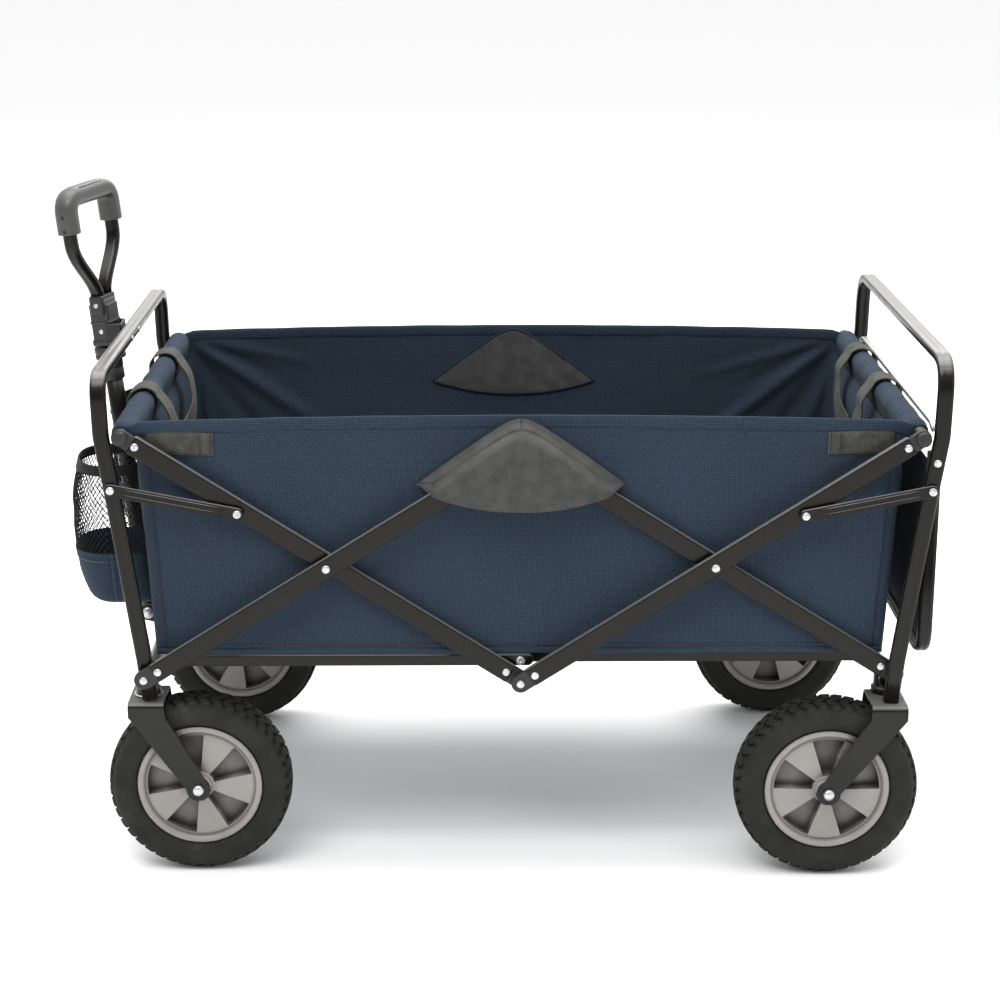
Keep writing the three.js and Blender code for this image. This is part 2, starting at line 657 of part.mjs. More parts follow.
for (const [endName, end] of [['front', -1], ['rear', 1]]) {
  place(`${endName}_hoop`, hoop(end), 'frame');
  place(`${endName}_cross_bar`, crossBar(end), 'frame');
  place(`${endName}_top_tube`, topTube(end), 'frame');
  for (const [sideName, side] of [['left', -1], ['right', 1]]) {
    place(`${endName}_upper_arm_${sideName}`, upperArm(end, side), 'frame');
    place(`${endName}_lower_arm_${sideName}`, lowerArm(end, side), 'frame');
    place(`${endName}_link_${sideName}`, link(end, side), 'frame');
    place(`${endName}_floor_rail_${sideName}`, rail(end, side), 'frame');
    place(`${endName}_tube_cap_${sideName}`, topCap(end, side), 'plastic');
    const wheel = end < 0 ? FRONT_WHEEL : REAR_WHEEL;
    placeWheel(`${endName}_${sideName}`, wheel, side, end < 0);
  }
}

place('caster_pin_left', kingpin(-1), 'zinc');
place('caster_pin_right', kingpin(1), 'zinc');

place('handle_bracket', handleBracket(), 'frame');
place('handle_pivot_bolt', handleBolt(), 'zinc', [HANDLE_PIVOT.x, 0, HANDLE_PIVOT.z]);
place('handle_clip', handleClip(), 'plastic');
place('handle_outer_tube', handleLowerTube(), 'frame');
place('handle_collar', handleCollar(), 'plastic');
place('handle_inner_tube', handleInnerTube(), 'frame');
place('handle_coupler', handleCoupler(), 'plastic');
place('handle_loop', handleLoop(), 'frame');
place('handle_grip', handleGrip(), 'plastic');

place('tray_frame', trayFrame(), 'frame');
place('tray_panel', trayPanel(), 'canvas');

place('tub', tub(), 'canvas');
place('floor_board', floorBoard(), 'board');
place('cup_pocket_left', cupPocket(-1), 'mesh');
place('cup_pocket_right', cupPocket(1), 'mesh');

export default wagon;
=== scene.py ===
"""Looks of a folding beach wagon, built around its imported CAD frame, in metres."""
import json
import math

import bmesh
import bpy
from mathutils import Matrix, Vector, noise


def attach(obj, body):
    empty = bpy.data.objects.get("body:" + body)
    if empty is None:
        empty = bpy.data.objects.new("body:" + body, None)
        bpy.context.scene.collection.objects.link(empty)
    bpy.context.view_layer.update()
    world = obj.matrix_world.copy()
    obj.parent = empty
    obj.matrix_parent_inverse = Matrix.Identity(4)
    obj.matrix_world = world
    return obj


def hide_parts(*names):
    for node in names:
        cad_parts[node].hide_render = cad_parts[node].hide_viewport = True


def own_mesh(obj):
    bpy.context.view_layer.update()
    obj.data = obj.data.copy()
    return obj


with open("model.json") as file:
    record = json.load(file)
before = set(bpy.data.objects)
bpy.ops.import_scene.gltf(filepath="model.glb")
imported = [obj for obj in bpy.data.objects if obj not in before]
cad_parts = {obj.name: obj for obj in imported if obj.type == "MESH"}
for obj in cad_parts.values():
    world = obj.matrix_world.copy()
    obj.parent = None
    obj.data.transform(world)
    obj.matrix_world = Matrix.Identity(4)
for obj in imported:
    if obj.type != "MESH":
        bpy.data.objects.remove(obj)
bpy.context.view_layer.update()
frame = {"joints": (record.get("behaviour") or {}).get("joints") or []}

PIVOT = {j["name"]: Vector(j["pos_m"]) for j in frame["joints"] if "pos_m" in j}
MIDDLE = PIVOT["lower_middle_pivot"].x       # the plane between the two ends
MM = 0.001
ENDS = {"front": -1, "rear": 1}
SIDES = {"left": -1, "right": 1}


def at(x, y, z):
    """A point given in mm from the middle plane, in the row frame."""
    return Vector((MIDDLE + x * MM, y * MM, z * MM))


def joint_at(name):
    """A joint's place in the side plane, in mm from the middle plane."""
    return ((PIVOT[name].x - MIDDLE) / MM, PIVOT[name].z / MM)


# ---------- dimensions, mm ----------

CORNER = (-joint_at("fold")[0], joint_at("fold")[1])
CROSSING = (-joint_at("front_arm_crossing")[0], joint_at("front_arm_crossing")[1])
TUBE = (-joint_at("front_tube_pivot")[0], joint_at("front_tube_pivot")[1])
LINK_FOOT = (-joint_at("front_link_pivot")[0], joint_at("front_link_pivot")[1])
LOW_MIDDLE = (0.0, joint_at("lower_middle_pivot")[1])
HIGH_MIDDLE = (0.0, 2 * CROSSING[1] - LOW_MIDDLE[1])
LINK_HEAD = (302.4, 418.4)
RAIL_FOOT = (-joint_at("front_rail_pivot")[0], joint_at("front_rail_pivot")[1])

ARM_WIDTH = 21.5
INNER_LAYER = (241.0, 249.0)
OUTER_LAYER = (252.5, 260.5)
FRONT_LEG_Y = 245.0
REAR_LEG_Y = 257.0
FRONT_LEG = ((404.6, 206.5), (409.5, 253.0), (436.0, 445.0), (444.5, 502.0), (446.0, 566.0))
REAR_LEG = ((404.6, 204.8),) + FRONT_LEG[1:4] + ((446.0, 583.0),)
HOOP_BEND = 42.0
FORK_TOP = 203.0
TYRE_RADIUS = 101.6
FRONT_WHEEL = {"x": -354.9, "y": 223.5, "top": -409.5}
REAR_WHEEL = {"x": 338.7, "y": 242.0, "top": 402.5}

WALL_Y = 235.5
WALL_BOTTOM = 257.0
SLEEVE_RADIUS = 13.5


# ---------- meshes ----------

def add_mesh(name, verts, faces, uvs=None, smooth=True):
    """A new object from points, faces and one (u, v) in metres for each point."""
    data = bpy.data.meshes.new(name)
    data.from_pydata([tuple(v) for v in verts], [], faces)
    if uvs:
        layer = data.uv_layers.new(name="cloth")
        for loop in data.loops:
            layer.data[loop.index].uv = uvs[loop.vertex_index]
    work = bmesh.new()
    work.from_mesh(data)
    bmesh.ops.recalc_face_normals(work, faces=work.faces)
    work.to_mesh(data)
    work.free()
    for polygon in data.polygons:
        polygon.use_smooth = smooth
    thing = bpy.data.objects.new(name, data)
    bpy.context.scene.collection.objects.link(thing)
    return thing


def rounded_edges(thing, width_mm, segments=3, angle=32):
    """Rounds every edge sharper than an angle, and keeps the flat faces flat."""
    bevel = thing.modifiers.new("edges", "BEVEL")
    bevel.width = width_mm * MM
    bevel.segments = segments
    bevel.limit_method = "ANGLE"
    bevel.angle_limit = math.radians(angle)
    weighted = thing.modifiers.new("flat faces", "WEIGHTED_NORMAL")
    weighted.keep_sharp = True
    return thing


def thicken(thing, thickness_mm, offset=0.0):
    """Gives a sheet its thickness."""
    solid = thing.modifiers.new("thickness", "SOLIDIFY")
    solid.thickness = thickness_mm * MM
    solid.offset = offset
    solid.use_even_offset = True
    return thing


def joined(name, things):
    """One object from several, with the first one's modifiers."""
    work = bmesh.new()
    data = bpy.data.meshes.new(name)
    for thing in things:
        piece = thing.data.copy()
        piece.transform(thing.matrix_world)
        work.from_mesh(piece)
        bpy.data.meshes.remove(piece)
    work.to_mesh(data)
    work.free()
    result = bpy.data.objects.new(name, data)
    bpy.context.scene.collection.objects.link(result)
    for source in things[0].modifiers:
        copy = result.modifiers.new(source.name, source.type)
        for prop in source.bl_rna.properties:
            if not prop.is_readonly and prop.identifier not in ("name", "type"):
                setattr(copy, prop.identifier, getattr(source, prop.identifier))
    for thing in things:
        bpy.data.objects.remove(thing)
    return result


def rounded(points, radius, steps=8):
    """Points along a path whose corners are rounded; radius and points in the same unit."""
    path = [Vector(points[0])]
    for i in range(1, len(points) - 1):
        here = Vector(points[i])
        back = (Vector(points[i - 1]) - here)
        on = (Vector(points[i + 1]) - here)
        half = back.angle(on) / 2
        reach = min(radius / max(math.tan(half), 1e-6), back.length * 0.48, on.length * 0.48)
        a = here + back.normalized() * reach
        b = here + on.normalized() * reach
        for s in range(steps + 1):
            t = s / steps
            path.append((1 - t) ** 2 * a + 2 * t * (1 - t) * here + t * t * b)
    path.append(Vector(points[-1]))
    return path


def oval(half_a, half_b, steps=32, power=2.0, groove=0.0, groove_width=1.6):
    """A section outline in mm: a round or squarish oval, with a groove along its wide faces."""
    outline = []
    for i in range(steps):
        t = 2 * math.pi * i / steps
        c, s = math.cos(t), math.sin(t)
        a = half_a * math.copysign(abs(c) ** (2 / power), c)
        b = half_b * math.copysign(abs(s) ** (2 / power), s)
        if groove:
            b -= math.copysign(groove * math.exp(-(a / groove_width) ** 2), b)
        outline.append((a, b))
    return outline


def sweep(name, path, section, across, capped=True, closed=False):
    """A tube of one section along a path in metres. across is where the section's first axis points."""
    across = Vector(across)
    count = len(path)
    lengths = [0.0]
    for i in range(1, count):
        lengths.append(lengths[-1] + (path[i] - path[i - 1]).length)
    rim = [0.0]
    for i, point in enumerate(section):
        step = Vector(point) - Vector(section[i - 1]) if i else Vector((0, 0))
        rim.append(rim[-1] + step.length * MM)
    verts, uvs, faces = [], [], []
    for i, point in enumerate(path):
        if closed:
            tangent = path[(i + 1) % count] - path[i - 1]
        else:
            tangent = path[min(i + 1, count - 1)] - path[max(i - 1, 0)]
        tangent.normalize()
        first = (across - tangent * across.dot(tangent)).normalized()
        second = tangent.cross(first)
        for k, (a, b) in enumerate(section):
            verts.append(point + first * (a * MM) + second * (b * MM))
            uvs.append((rim[k + 1], lengths[i]))
    size = len(section)
    rings = count if closed else count - 1
    for i in range(rings):
        for k in range(size):
            k2, i2 = (k + 1) % size, (i + 1) % count
            faces.append((i * size + k, i * size + k2, i2 * size + k2, i2 * size + k))
    if capped and not closed:
        faces.append(tuple(range(size)))
        faces.append(tuple((count - 1) * size + k for k in range(size)))
    return add_mesh(name, verts, faces, uvs)


def grid(name, point, columns, rows, size, closed=False):
    """A sheet whose point(u, v) is in metres; size is its (width, height) for the weave."""
    verts, uvs, faces = [], [], []
    wide = columns if closed else columns + 1
    for r in range(rows + 1):
        for c in range(wide):
            u, v = c / columns, r / rows
            verts.append(point(u, v))
            uvs.append((u * size[0], v * size[1]))
    for r in range(rows):
        for c in range(columns):
            c2 = (c + 1) % wide
            faces.append((r * wide + c, r * wide + c2, (r + 1) * wide + c2, (r + 1) * wide + c))
    return add_mesh(name, verts, faces, uvs)


def turned(name, profile, centre, axis="Y", steps=64, closed=True):
    """A turned piece from (radius, along) points in mm about an axis through centre."""
    verts, uvs, faces = [], [], []
    count = len(profile)
    for s in range(steps):
        t = 2 * math.pi * s / steps
        for k, (radius, along) in enumerate(profile):
            flat = (radius * math.cos(t), radius * math.sin(t))
            spot = {"Y": (flat[0], along, flat[1]), "Z": (flat[0], flat[1], along),
                    "X": (along, flat[0], flat[1])}[axis]
            verts.append(centre + Vector(spot) * MM)
            uvs.append((t * 0.09, k * 0.004))
    for s in range(steps):
        s2 = (s + 1) % steps
        for k in range(count if closed else count - 1):
            k2 = (k + 1) % count
            faces.append((s * count + k, s * count + k2, s2 * count + k2, s2 * count + k))
    return add_mesh(name, verts, faces, uvs)


def dome(name, centre, axis, radius, height, hole=0.0):
    """A rivet or screw head on a face; axis points out of the face."""
    height *= 0.72
    profile = [(0.0, 0.0), (radius, 0.0), (radius * 1.02, height * 0.3), (radius * 0.93, height * 0.72),
               (radius * 0.74, height * 0.96), (radius * 0.5, height)]
    profile.append((hole + 0.02, height) if hole else (0.02, height))
    if hole:
        profile += [(hole, height * 0.35), (0.02, height * 0.35)]
    head = turned(name, profile, Vector((0, 0, 0)), "Z", 20, closed=False)
    turn = Vector((0, 0, 1)).rotation_difference(Vector(axis)).to_matrix().to_4x4()
    head.data.transform(Matrix.Translation(centre) @ turn)
    work = bmesh.new()
    work.from_mesh(head.data)
    bmesh.ops.remove_doubles(work, verts=work.verts, dist=0.00005)
    bmesh.ops.recalc_face_normals(work, faces=work.faces)
    work.to_mesh(head.data)
    work.free()
    return head


def side_plate(name, outline, y_low, y_high):
    """An outline of the side plane in mm, made solid between two values of Y in mm."""
    count = len(outline)
    verts = [at(x, y_low, z) for x, z in outline] + [at(x, y_high, z) for x, z in outline]
    faces = [tuple(range(count)), tuple(range(count, 2 * count))]
    faces += [(k, (k + 1) % count, count + (k + 1) % count, count + k) for k in range(count)]
    uvs = [(v.x, v.z) for v in verts]
    return add_mesh(name, verts, faces, uvs)


def bar_outline(start, stop, width, round_start=True, round_stop=True, steps=12):
    """A bar between two points of the side plane, with its ends round or square."""
    a, b = Vector(start), Vector(stop)
    along = (b - a).normalized()
    half = width / 2
    outline = []
    for point, direction, is_round in ((b, along, round_stop), (a, -along, round_start)):
        left = Vector((-direction.y, direction.x))
        if not is_round:
            outline += [point - left * half, point + left * half]
            continue
        for s in range(steps + 1):
            t = -math.pi / 2 + math.pi * s / steps
            outline.append(point + direction * (math.cos(t) * half) + left * (math.sin(t) * half))
    return [(p.x, p.y) for p in outline]


def layer_at(side, layer):
    return (-layer[1], -layer[0]) if side < 0 else (layer[0], layer[1])


def on_line(start, stop, distance):
    """A point some way along a line of the side plane."""
    a, b = Vector(start), Vector(stop)
    p = a + (b - a).normalized() * distance
    return (p.x, p.y)


def mirrored(end, point):
    return (end * point[0], point[1])


# ---------- materials ----------

class Finish:
    """A procedural material, with short names for the nodes it is made of."""

    def __init__(self, name, colour, roughness, metallic=0.0, sheen=0.0, coat=0.0, specular=0.5):
        self.material = bpy.data.materials.new(name)
        self.material.use_nodes = True
        self.nodes = self.material.node_tree.nodes
        self.links = self.material.node_tree.links
        self.shader = self.nodes["Principled BSDF"]
        self.shader.inputs["Base Color"].default_value = (*colour, 1)
        self.shader.inputs["Roughness"].default_value = roughness
        self.shader.inputs["Metallic"].default_value = metallic
        self.shader.inputs["Sheen Weight"].default_value = sheen
        self.shader.inputs["Coat Weight"].default_value = coat
        self.shader.inputs["Specular IOR Level"].default_value = specular
        self.coordinates = self.nodes.new("ShaderNodeTexCoord")

    def link(self, source, target):
        self.links.new(source, target)
        return source

    def noise(self, scale, detail=4.0, roughness=0.55, space="Object", stretch=None):
        texture = self.nodes.new("ShaderNodeTexNoise")
        texture.inputs["Scale"].default_value = scale
        texture.inputs["Detail"].default_value = detail
        texture.inputs["Roughness"].default_value = roughness
        source = self.coordinates.outputs[space]
        if stretch:
            mapping = self.nodes.new("ShaderNodeMapping")
            mapping.inputs["Scale"].default_value = stretch
            source = self.link(source, mapping.inputs["Vector"]) and mapping.outputs["Vector"]
        self.link(source, texture.inputs["Vector"])
        return texture.outputs["Fac"]

    def hollows(self, distance):
        """Low in recesses and 1 on open faces."""
        shade = self.nodes.new("ShaderNodeAmbientOcclusion")
        shade.samples = 8
        shade.inputs["Distance"].default_value = distance
        return shade.outputs["AO"]

    def upward(self, low, high):
        """From 0 to 1 as a face turns to point up."""
        parts = self.nodes.new("ShaderNodeSeparateXYZ")
        self.link(self.coordinates.outputs["Normal"], parts.inputs[0])
        return self.ramp(parts.outputs["Z"], [(low, (0, 0, 0)), (high, (1, 1, 1))])

    def wave(self, pitch, direction="X", distortion=0.0, space="UV"):
        texture = self.nodes.new("ShaderNodeTexWave")
        texture.bands_direction = direction
        texture.inputs["Scale"].default_value = 2 * math.pi / 20 / pitch
        texture.inputs["Distortion"].default_value = distortion
        texture.inputs["Detail"].default_value = 0
        self.link(self.coordinates.outputs[space], texture.inputs["Vector"])
        return texture.outputs["Fac"]

    def math(self, operation, first, second):
        node = self.nodes.new("ShaderNodeMath")
        node.operation = operation
        for socket, value in zip(node.inputs, (first, second)):
            if isinstance(value, float):
                socket.default_value = value
            else:
                self.link(value, socket)
        return node.outputs["Value"]

    def ramp(self, factor, stops):
        node = self.nodes.new("ShaderNodeValToRGB")
        while len(node.color_ramp.elements) < len(stops):
            node.color_ramp.elements.new(0.5)
        for element, (place, colour) in zip(node.color_ramp.elements, stops):
            element.position = place
            element.color = (*colour, 1) if len(colour) == 3 else colour
        self.link(factor, node.inputs["Fac"])
        return node.outputs["Color"]

    def mix(self, factor, first, second, blend="MIX"):
        node = self.nodes.new("ShaderNodeMix")
        node.data_type = "RGBA"
        node.blend_type = blend
        for socket, value in ((node.inputs["Factor"], factor), (node.inputs[6], first),
                              (node.inputs[7], second)):
            if isinstance(value, (float, int)):
                socket.default_value = value
            elif isinstance(value, tuple):
                socket.default_value = (*value, 1)
            else:
                self.link(value, socket)
        return node.outputs[2]

    def colour(self, source):
        self.link(source, self.shader.inputs["Base Color"])

    def roughness(self, factor, low, high):
        node = self.nodes.new("ShaderNodeMapRange")
        node.inputs["To Min"].default_value = low
        node.inputs["To Max"].default_value = high
        self.link(factor, node.inputs["Value"])
        self.link(node.outputs["Result"], self.shader.inputs["Roughness"])

    def bump(self, *layers):
        """Stacks (height, strength, distance in metres) layers of relief."""
        normal = None
        for height, strength, distance in layers:
            node = self.nodes.new("ShaderNodeBump")
            node.inputs["Strength"].default_value = strength
            node.inputs["Distance"].default_value = distance
            self.link(height, node.inputs["Height"])
            if normal:
                self.link(normal, node.inputs["Normal"])
            normal = node.outputs["Normal"]
        self.link(normal, self.shader.inputs["Normal"])


def powder_coat(name, base, light, roughness):
    """Painted steel: fine orange peel, mottled tone, a few rubbed streaks, and a painted highlight on faces
    turned up.
    """
    f = Finish(name, base, roughness, metallic=0.1, coat=0.12, specular=0.2)
    cloud = f.noise(9.0, 5.0)
    rubbed = f.noise(55.0, 6.0, 0.7, stretch=(1.0, 1.0, 3.0))
    marks = f.ramp(rubbed, [(0.62, (0, 0, 0)), (0.74, (1, 1, 1))])
    tone = f.ramp(cloud, [(0.3, base), (0.75, tuple(c * 1.45 for c in base))])
    worn = f.mix(f.math("MULTIPLY", marks, 0.3), tone, light)
    # painted highlight: faces turned up are mixed toward pale grey, standing in for light falling from above
    f.colour(f.mix(f.math("MULTIPLY", f.upward(0.45, 0.86), 0.42), worn, (0.36, 0.35, 0.34)))
    f.roughness(f.noise(30.0, 5.0), roughness - 0.08, roughness + 0.14)
    f.bump((f.noise(900.0, 2.0), 0.12, 0.0002), (f.noise(140.0, 3.0), 0.08, 0.0006))
    return f.material


def zinc_plate(name, dark, light, smoothest):
    f = Finish(name, light, smoothest + 0.1, metallic=1.0)
    f.colour(f.ramp(f.noise(240.0, 4.0), [(0.3, dark), (0.7, light)]))
    f.roughness(f.noise(500.0, 4.0), smoothest, smoothest + 0.24)
    f.bump((f.noise(1600.0, 2.0), 0.15, 0.0001))
    return f.material


def moulded_plastic(name, base, roughness, grain=0.2, hollow_shade=1.0):
    """Moulded plastic with a fine grain; hollow_shade below 1 darkens its recesses with painted shade."""
    f = Finish(name, base, roughness)
    tone = f.ramp(f.noise(14.0, 5.0), [(0.3, base), (0.8, tuple(c * 1.35 for c in base))])
    if hollow_shade < 1.0:
        # painted shade: recesses found by ambient occlusion are darkened in the colour, down to hollow_shade
        recess_painted_shade = f.ramp(f.hollows(0.022), [(0.45, (hollow_shade,) * 3), (0.86, (1, 1, 1))])
        tone = f.mix(1.0, tone, recess_painted_shade, "MULTIPLY")
    f.colour(tone)
    f.roughness(f.noise(60.0, 4.0), roughness - 0.07, roughness + 0.1)
    f.bump((f.noise(1500.0, 2.0), grain, 0.00015), (f.noise(30.0, 3.0), 0.05, 0.001))
    return f.material


def tyre_rubber():
    f = Finish("tyre_rubber", (0.015, 0.016, 0.014), 0.72, specular=0.22)
    dust = f.noise(26.0, 7.0, 0.65)
    f.colour(f.ramp(dust, [(0.25, (0.009, 0.01, 0.0085)), (0.6, (0.02, 0.021, 0.018)),
                           (0.85, (0.045, 0.043, 0.038))]))
    f.roughness(f.noise(80.0, 5.0), 0.6, 0.88)
    f.bump((f.noise(1100.0, 3.0), 0.25, 0.0003), (f.noise(190.0, 4.0), 0.12, 0.0005))
    return f.material


def waffle_cloth(name, dark, mid, light, pitch=0.0025, sheen=0.03):
    """Woven polyester with a raised square grid, coloured paler on its ribs and darker between them."""
    f = Finish(name, mid, 0.86, sheen=sheen, specular=0.08)
    f.shader.inputs["Sheen Roughness"].default_value = 0.5
    ribs = f.math("MAXIMUM", f.wave(pitch, "X"), f.wave(pitch * 0.92, "Y"))
    threads = f.math("MULTIPLY", f.wave(pitch / 4, "X"), f.wave(pitch / 4, "Y"))
    grid_tone = f.ramp(ribs, [(0.45, dark), (0.8, mid), (1.0, light)])
    fade = f.noise(5.0, 4.0)
    faded = f.mix(f.math("MULTIPLY", fade, 0.32), grid_tone, tuple(c * 1.5 for c in light))
    speck = f.ramp(f.noise(700.0, 3.0), [(0.35, (0.72, 0.72, 0.72)), (0.7, (1.12, 1.12, 1.12))])
    f.colour(f.mix(1.0, faded, speck, "MULTIPLY"))
    f.roughness(ribs, 0.95, 0.74)
    f.bump((ribs, 0.5, 0.0005), (threads, 0.25, 0.0002), (f.noise(45.0, 5.0), 0.1, 0.002))
    return f.material


def plain_cloth(name, dark, light, pitch=0.0013, sheen=0.06, rough=0.85):
    """Plain weave: crossing threads and mottled colour."""
    f = Finish(name, light, rough, sheen=sheen, specular=0.3)
    weave = f.math("MULTIPLY", f.wave(pitch, "X", 0.6), f.wave(pitch, "Y", 0.6))
    tone = f.ramp(f.noise(60.0, 6.0, 0.65), [(0.3, dark), (0.72, light)])
    shade = f.ramp(weave, [(0.0, (0.62, 0.62, 0.62)), (0.6, (1.08, 1.08, 1.08))])
    f.colour(f.mix(1.0, tone, shade, "MULTIPLY"))
    f.bump((weave, 0.45, 0.0004), (f.noise(260.0, 4.0), 0.25, 0.0006))
    return f.material


def webbing_cloth():
    """Narrow grey strap: slanting ribs across and a firm edge."""
    f = Finish("grey_webbing", (0.11, 0.115, 0.1), 0.82, sheen=0.06, specular=0.3)
    ribs = f.math("MULTIPLY", f.wave(0.0017, "DIAGONAL"), f.wave(0.0026, "X"))
    tone = f.ramp(f.noise(90.0, 5.0), [(0.3, (0.038, 0.039, 0.033)), (0.75, (0.086, 0.088, 0.077))])
    shade = f.ramp(ribs, [(0.0, (0.6, 0.6, 0.6)), (0.65, (1.15, 1.15, 1.12))])
    f.colour(f.mix(1.0, tone, shade, "MULTIPLY"))
    f.bump((ribs, 0.6, 0.0005))
    return f.material


FRAME_PAINT = powder_coat("frame_paint", (0.0046, 0.004, 0.0032), (0.03, 0.027, 0.022), 0.27)
FORK_PAINT = powder_coat("fork_paint", (0.0095, 0.0098, 0.008), (0.06, 0.06, 0.052), 0.32)
INSERT = moulded_plastic("insert_plastic", (0.011, 0.0115, 0.0105), 0.58, 0.45)
BLACK = moulded_plastic("black_plastic", (0.0095, 0.0095, 0.0098), 0.4)
GRIP = moulded_plastic("grip_plastic", (0.046, 0.047, 0.041), 0.34, 0.25)
# the rim's pockets get painted shade in their colour through hollow_shade
RIM = moulded_plastic("rim_plastic", (0.235, 0.222, 0.21), 0.34, 0.1, hollow_shade=0.2)
ZINC = zinc_plate("zinc_plate", (0.42, 0.43, 0.44), (0.74, 0.75, 0.76), 0.3)
SATIN_STEEL = zinc_plate("satin_steel", (0.42, 0.4, 0.4), (0.6, 0.58, 0.58), 0.32)
RUBBER = tyre_rubber()
CANVAS = waffle_cloth("navy_waffle", (0.0108, 0.0176, 0.0288), (0.0178, 0.0286, 0.0455),
                      (0.039, 0.058, 0.084))
PATCH = plain_cloth("grey_patch_cloth", (0.046, 0.046, 0.045), (0.088, 0.088, 0.085), 0.0011)
PIPING = plain_cloth("navy_binding", (0.008, 0.013, 0.026), (0.017, 0.027, 0.048), 0.0009)
BLACK_BAND = plain_cloth("black_band", (0.006, 0.0065, 0.007), (0.014, 0.0145, 0.015), 0.0012)
NET = plain_cloth("black_net", (0.006, 0.006, 0.007), (0.013, 0.013, 0.015), 0.0006)
BOARD = plain_cloth("board_cover", (0.012, 0.02, 0.036), (0.022, 0.036, 0.06), 0.0016)
WEBBING = webbing_cloth()
THREAD = plain_cloth("sewing_thread", (0.02, 0.024, 0.03), (0.04, 0.047, 0.058), 0.0008)
PALE_THREAD = plain_cloth("pale_thread", (0.1, 0.11, 0.12), (0.2, 0.21, 0.22), 0.0008)


def finish(thing, body, material, slot, *nodes):
    """Puts a finished piece on its body, in place of the CAD nodes it stands for."""
    thing.data.materials.clear()
    thing.data.materials.append(material)
    for polygon in thing.data.polygons:
        polygon.material_index = 0
    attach(thing, body)
    if nodes:
        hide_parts(*nodes)
    return thing


# ---------- end frames ----------

def hoop(end_name):
    end = ENDS[end_name]
    leg = FRONT_LEG if end < 0 else REAR_LEG
    leg_y = FRONT_LEG_Y if end < 0 else REAR_LEG_Y
    smooth = rounded([(x, z, 0) for x, z in leg], 60, 3)
    up = [at(end * p.x, -leg_y, p.y) for p in smooth]
    down = [at(end * p.x, leg_y, p.y) for p in reversed(smooth)]
    corners = rounded([up[-2], up[-1], down[0], down[1]], HOOP_BEND * MM, 12)
    path = up[:-2] + corners + down[2:]
    section = oval(8.5, 5.5, 56, 4.0, groove=1.1, groove_width=1.3)
    tube = sweep(f"{end_name}_hoop_tube", path, section, (1, 0, 0))
    finish(tube, f"{end_name}_frame", FRAME_PAINT, "frame_steel", f"{end_name}_hoop")


def cross_bar(end_name):
    end = ENDS[end_name]
    x = FRONT_WHEEL["top"] if end < 0 else REAR_WHEEL["top"]
    y = FRONT_WHEEL["y"]
    rail_y = 230.0 if end < 0 else 219.0
    path = [at(x, s * 238.5, 222) for s in (-1, -0.5, 0, 0.5, 1)]
    pieces = [sweep("bar", path, oval(8, 8, 24), (1, 0, 0))]
    for side in (-1, 1):
        foot = FORK_TOP + 2.5 if end < 0 else FORK_TOP + 0.6
        socket = [(0.02, foot), (14, foot), (14, foot + 6), (11.5, foot + 8), (11.5, 228), (9, 231),
                  (0.02, 231)]
        pieces.append(turned("socket", socket, at(x, side * y, 0), "Z", 28, closed=False))
        strap = bar_outline((x, 222), mirrored(end, RAIL_FOOT), 12)
        pieces.append(side_plate("strap", strap, *layer_at(side, (rail_y - 3.6, rail_y - 0.9))))
    rounded_edges(pieces[0], 0.6, 2)
    thing = joined(f"{end_name}_foot_bar", pieces)
    finish(thing, f"{end_name}_frame", FRAME_PAINT, "frame_steel", f"{end_name}_cross_bar")
    bolts = []
    for side in (-1, 1):
        for bolt_y, out in ((rail_y - 3.6, -1), (rail_y + 8.2, 1)):
            if (out > 0) == (end < 0) or out > 0:
                spot = at(end * RAIL_FOOT[0], side * bolt_y, RAIL_FOOT[1])
                bolts.append(dome("bolt", spot, (0, side * out, 0), 4.2, 2.4))
    thing = joined(f"{end_name}_rail_rivets", bolts)
    finish(thing, f"{end_name}_frame", ZINC, "zinc")


# ---------- scissor arms ----------

FITTING_REACH = 24.0


def fitting(pivot, toward, y_low, y_high, radius):
    """The moulded insert at an arm's end: a round eye and a tongue in the steel."""
    tip = on_line(pivot, toward, FITTING_REACH)
    plate = side_plate("fitting", bar_outline(tip, pivot, 2 * radius, False, True), y_low, y_high)
    return rounded_edges(plate, 1.4, 3)


def arm(end_name, kind, side_name):
    """A steel bar with an insert at each end, and its rivets."""
    end, side = ENDS[end_name], SIDES[side_name]
    outer = (kind == "lower") == (end < 0)
    layer = OUTER_LAYER if outer else INNER_LAYER
    middle = HIGH_MIDDLE if kind == "lower" else LOW_MIDDLE
    corner = mirrored(end, CORNER if kind == "lower" else TUBE)
    body = f"{end_name}_{kind}_arms"
    y_low, y_high = layer_at(side, layer)
    start, stop = on_line(middle, corner, 12.0), on_line(corner, middle, 13.0)
    steel = side_plate("bar", bar_outline(start, stop, ARM_WIDTH, False, False), y_low, y_high)
    rounded_edges(steel, 2.3, 4)
    steel.name = f"{end_name}_{kind}_arm_steel_{side_name}"
    finish(steel, body, FRAME_PAINT, "frame_steel", f"{end_name}_{kind}_arm_{side_name}")
    inset = 0.7
    low, high = y_low + inset, y_high - inset
    corner_radius = 10.6 if kind == "lower" else 9.0
    ends = [fitting(middle, corner, low, high, 10.2), fitting(corner, middle, low, high, corner_radius)]
    inserts = joined(f"{end_name}_{kind}_arm_inserts_{side_name}", ends)
    finish(inserts, body, INSERT, "black_plastic")
    face = side * layer[1]
    heads = []
    for pivot, toward in ((middle, corner), (corner, middle)):
        for distance in (0.0, 18.5):
            is_tube = kind == "upper" and pivot == corner and distance == 0
            if is_tube or (distance == 0 and not outer and pivot != corner):
                continue
            spot = on_line(pivot, toward, distance)
            depth = inset if distance == 0 else 0.0
            heads.append(dome("rivet", at(spot[0], face - side * depth, spot[1]), (0, side, 0), 4.3, 2.2))
    if outer:
        spot = mirrored(end, CROSSING)
        heads.append(dome("rivet", at(spot[0], face, spot[1]), (0, side, 0), 4.5, 2.4))
    rivets = joined(f"{end_name}_{kind}_arm_rivets_{side_name}", heads)
    finish(rivets, body, ZINC, "zinc")


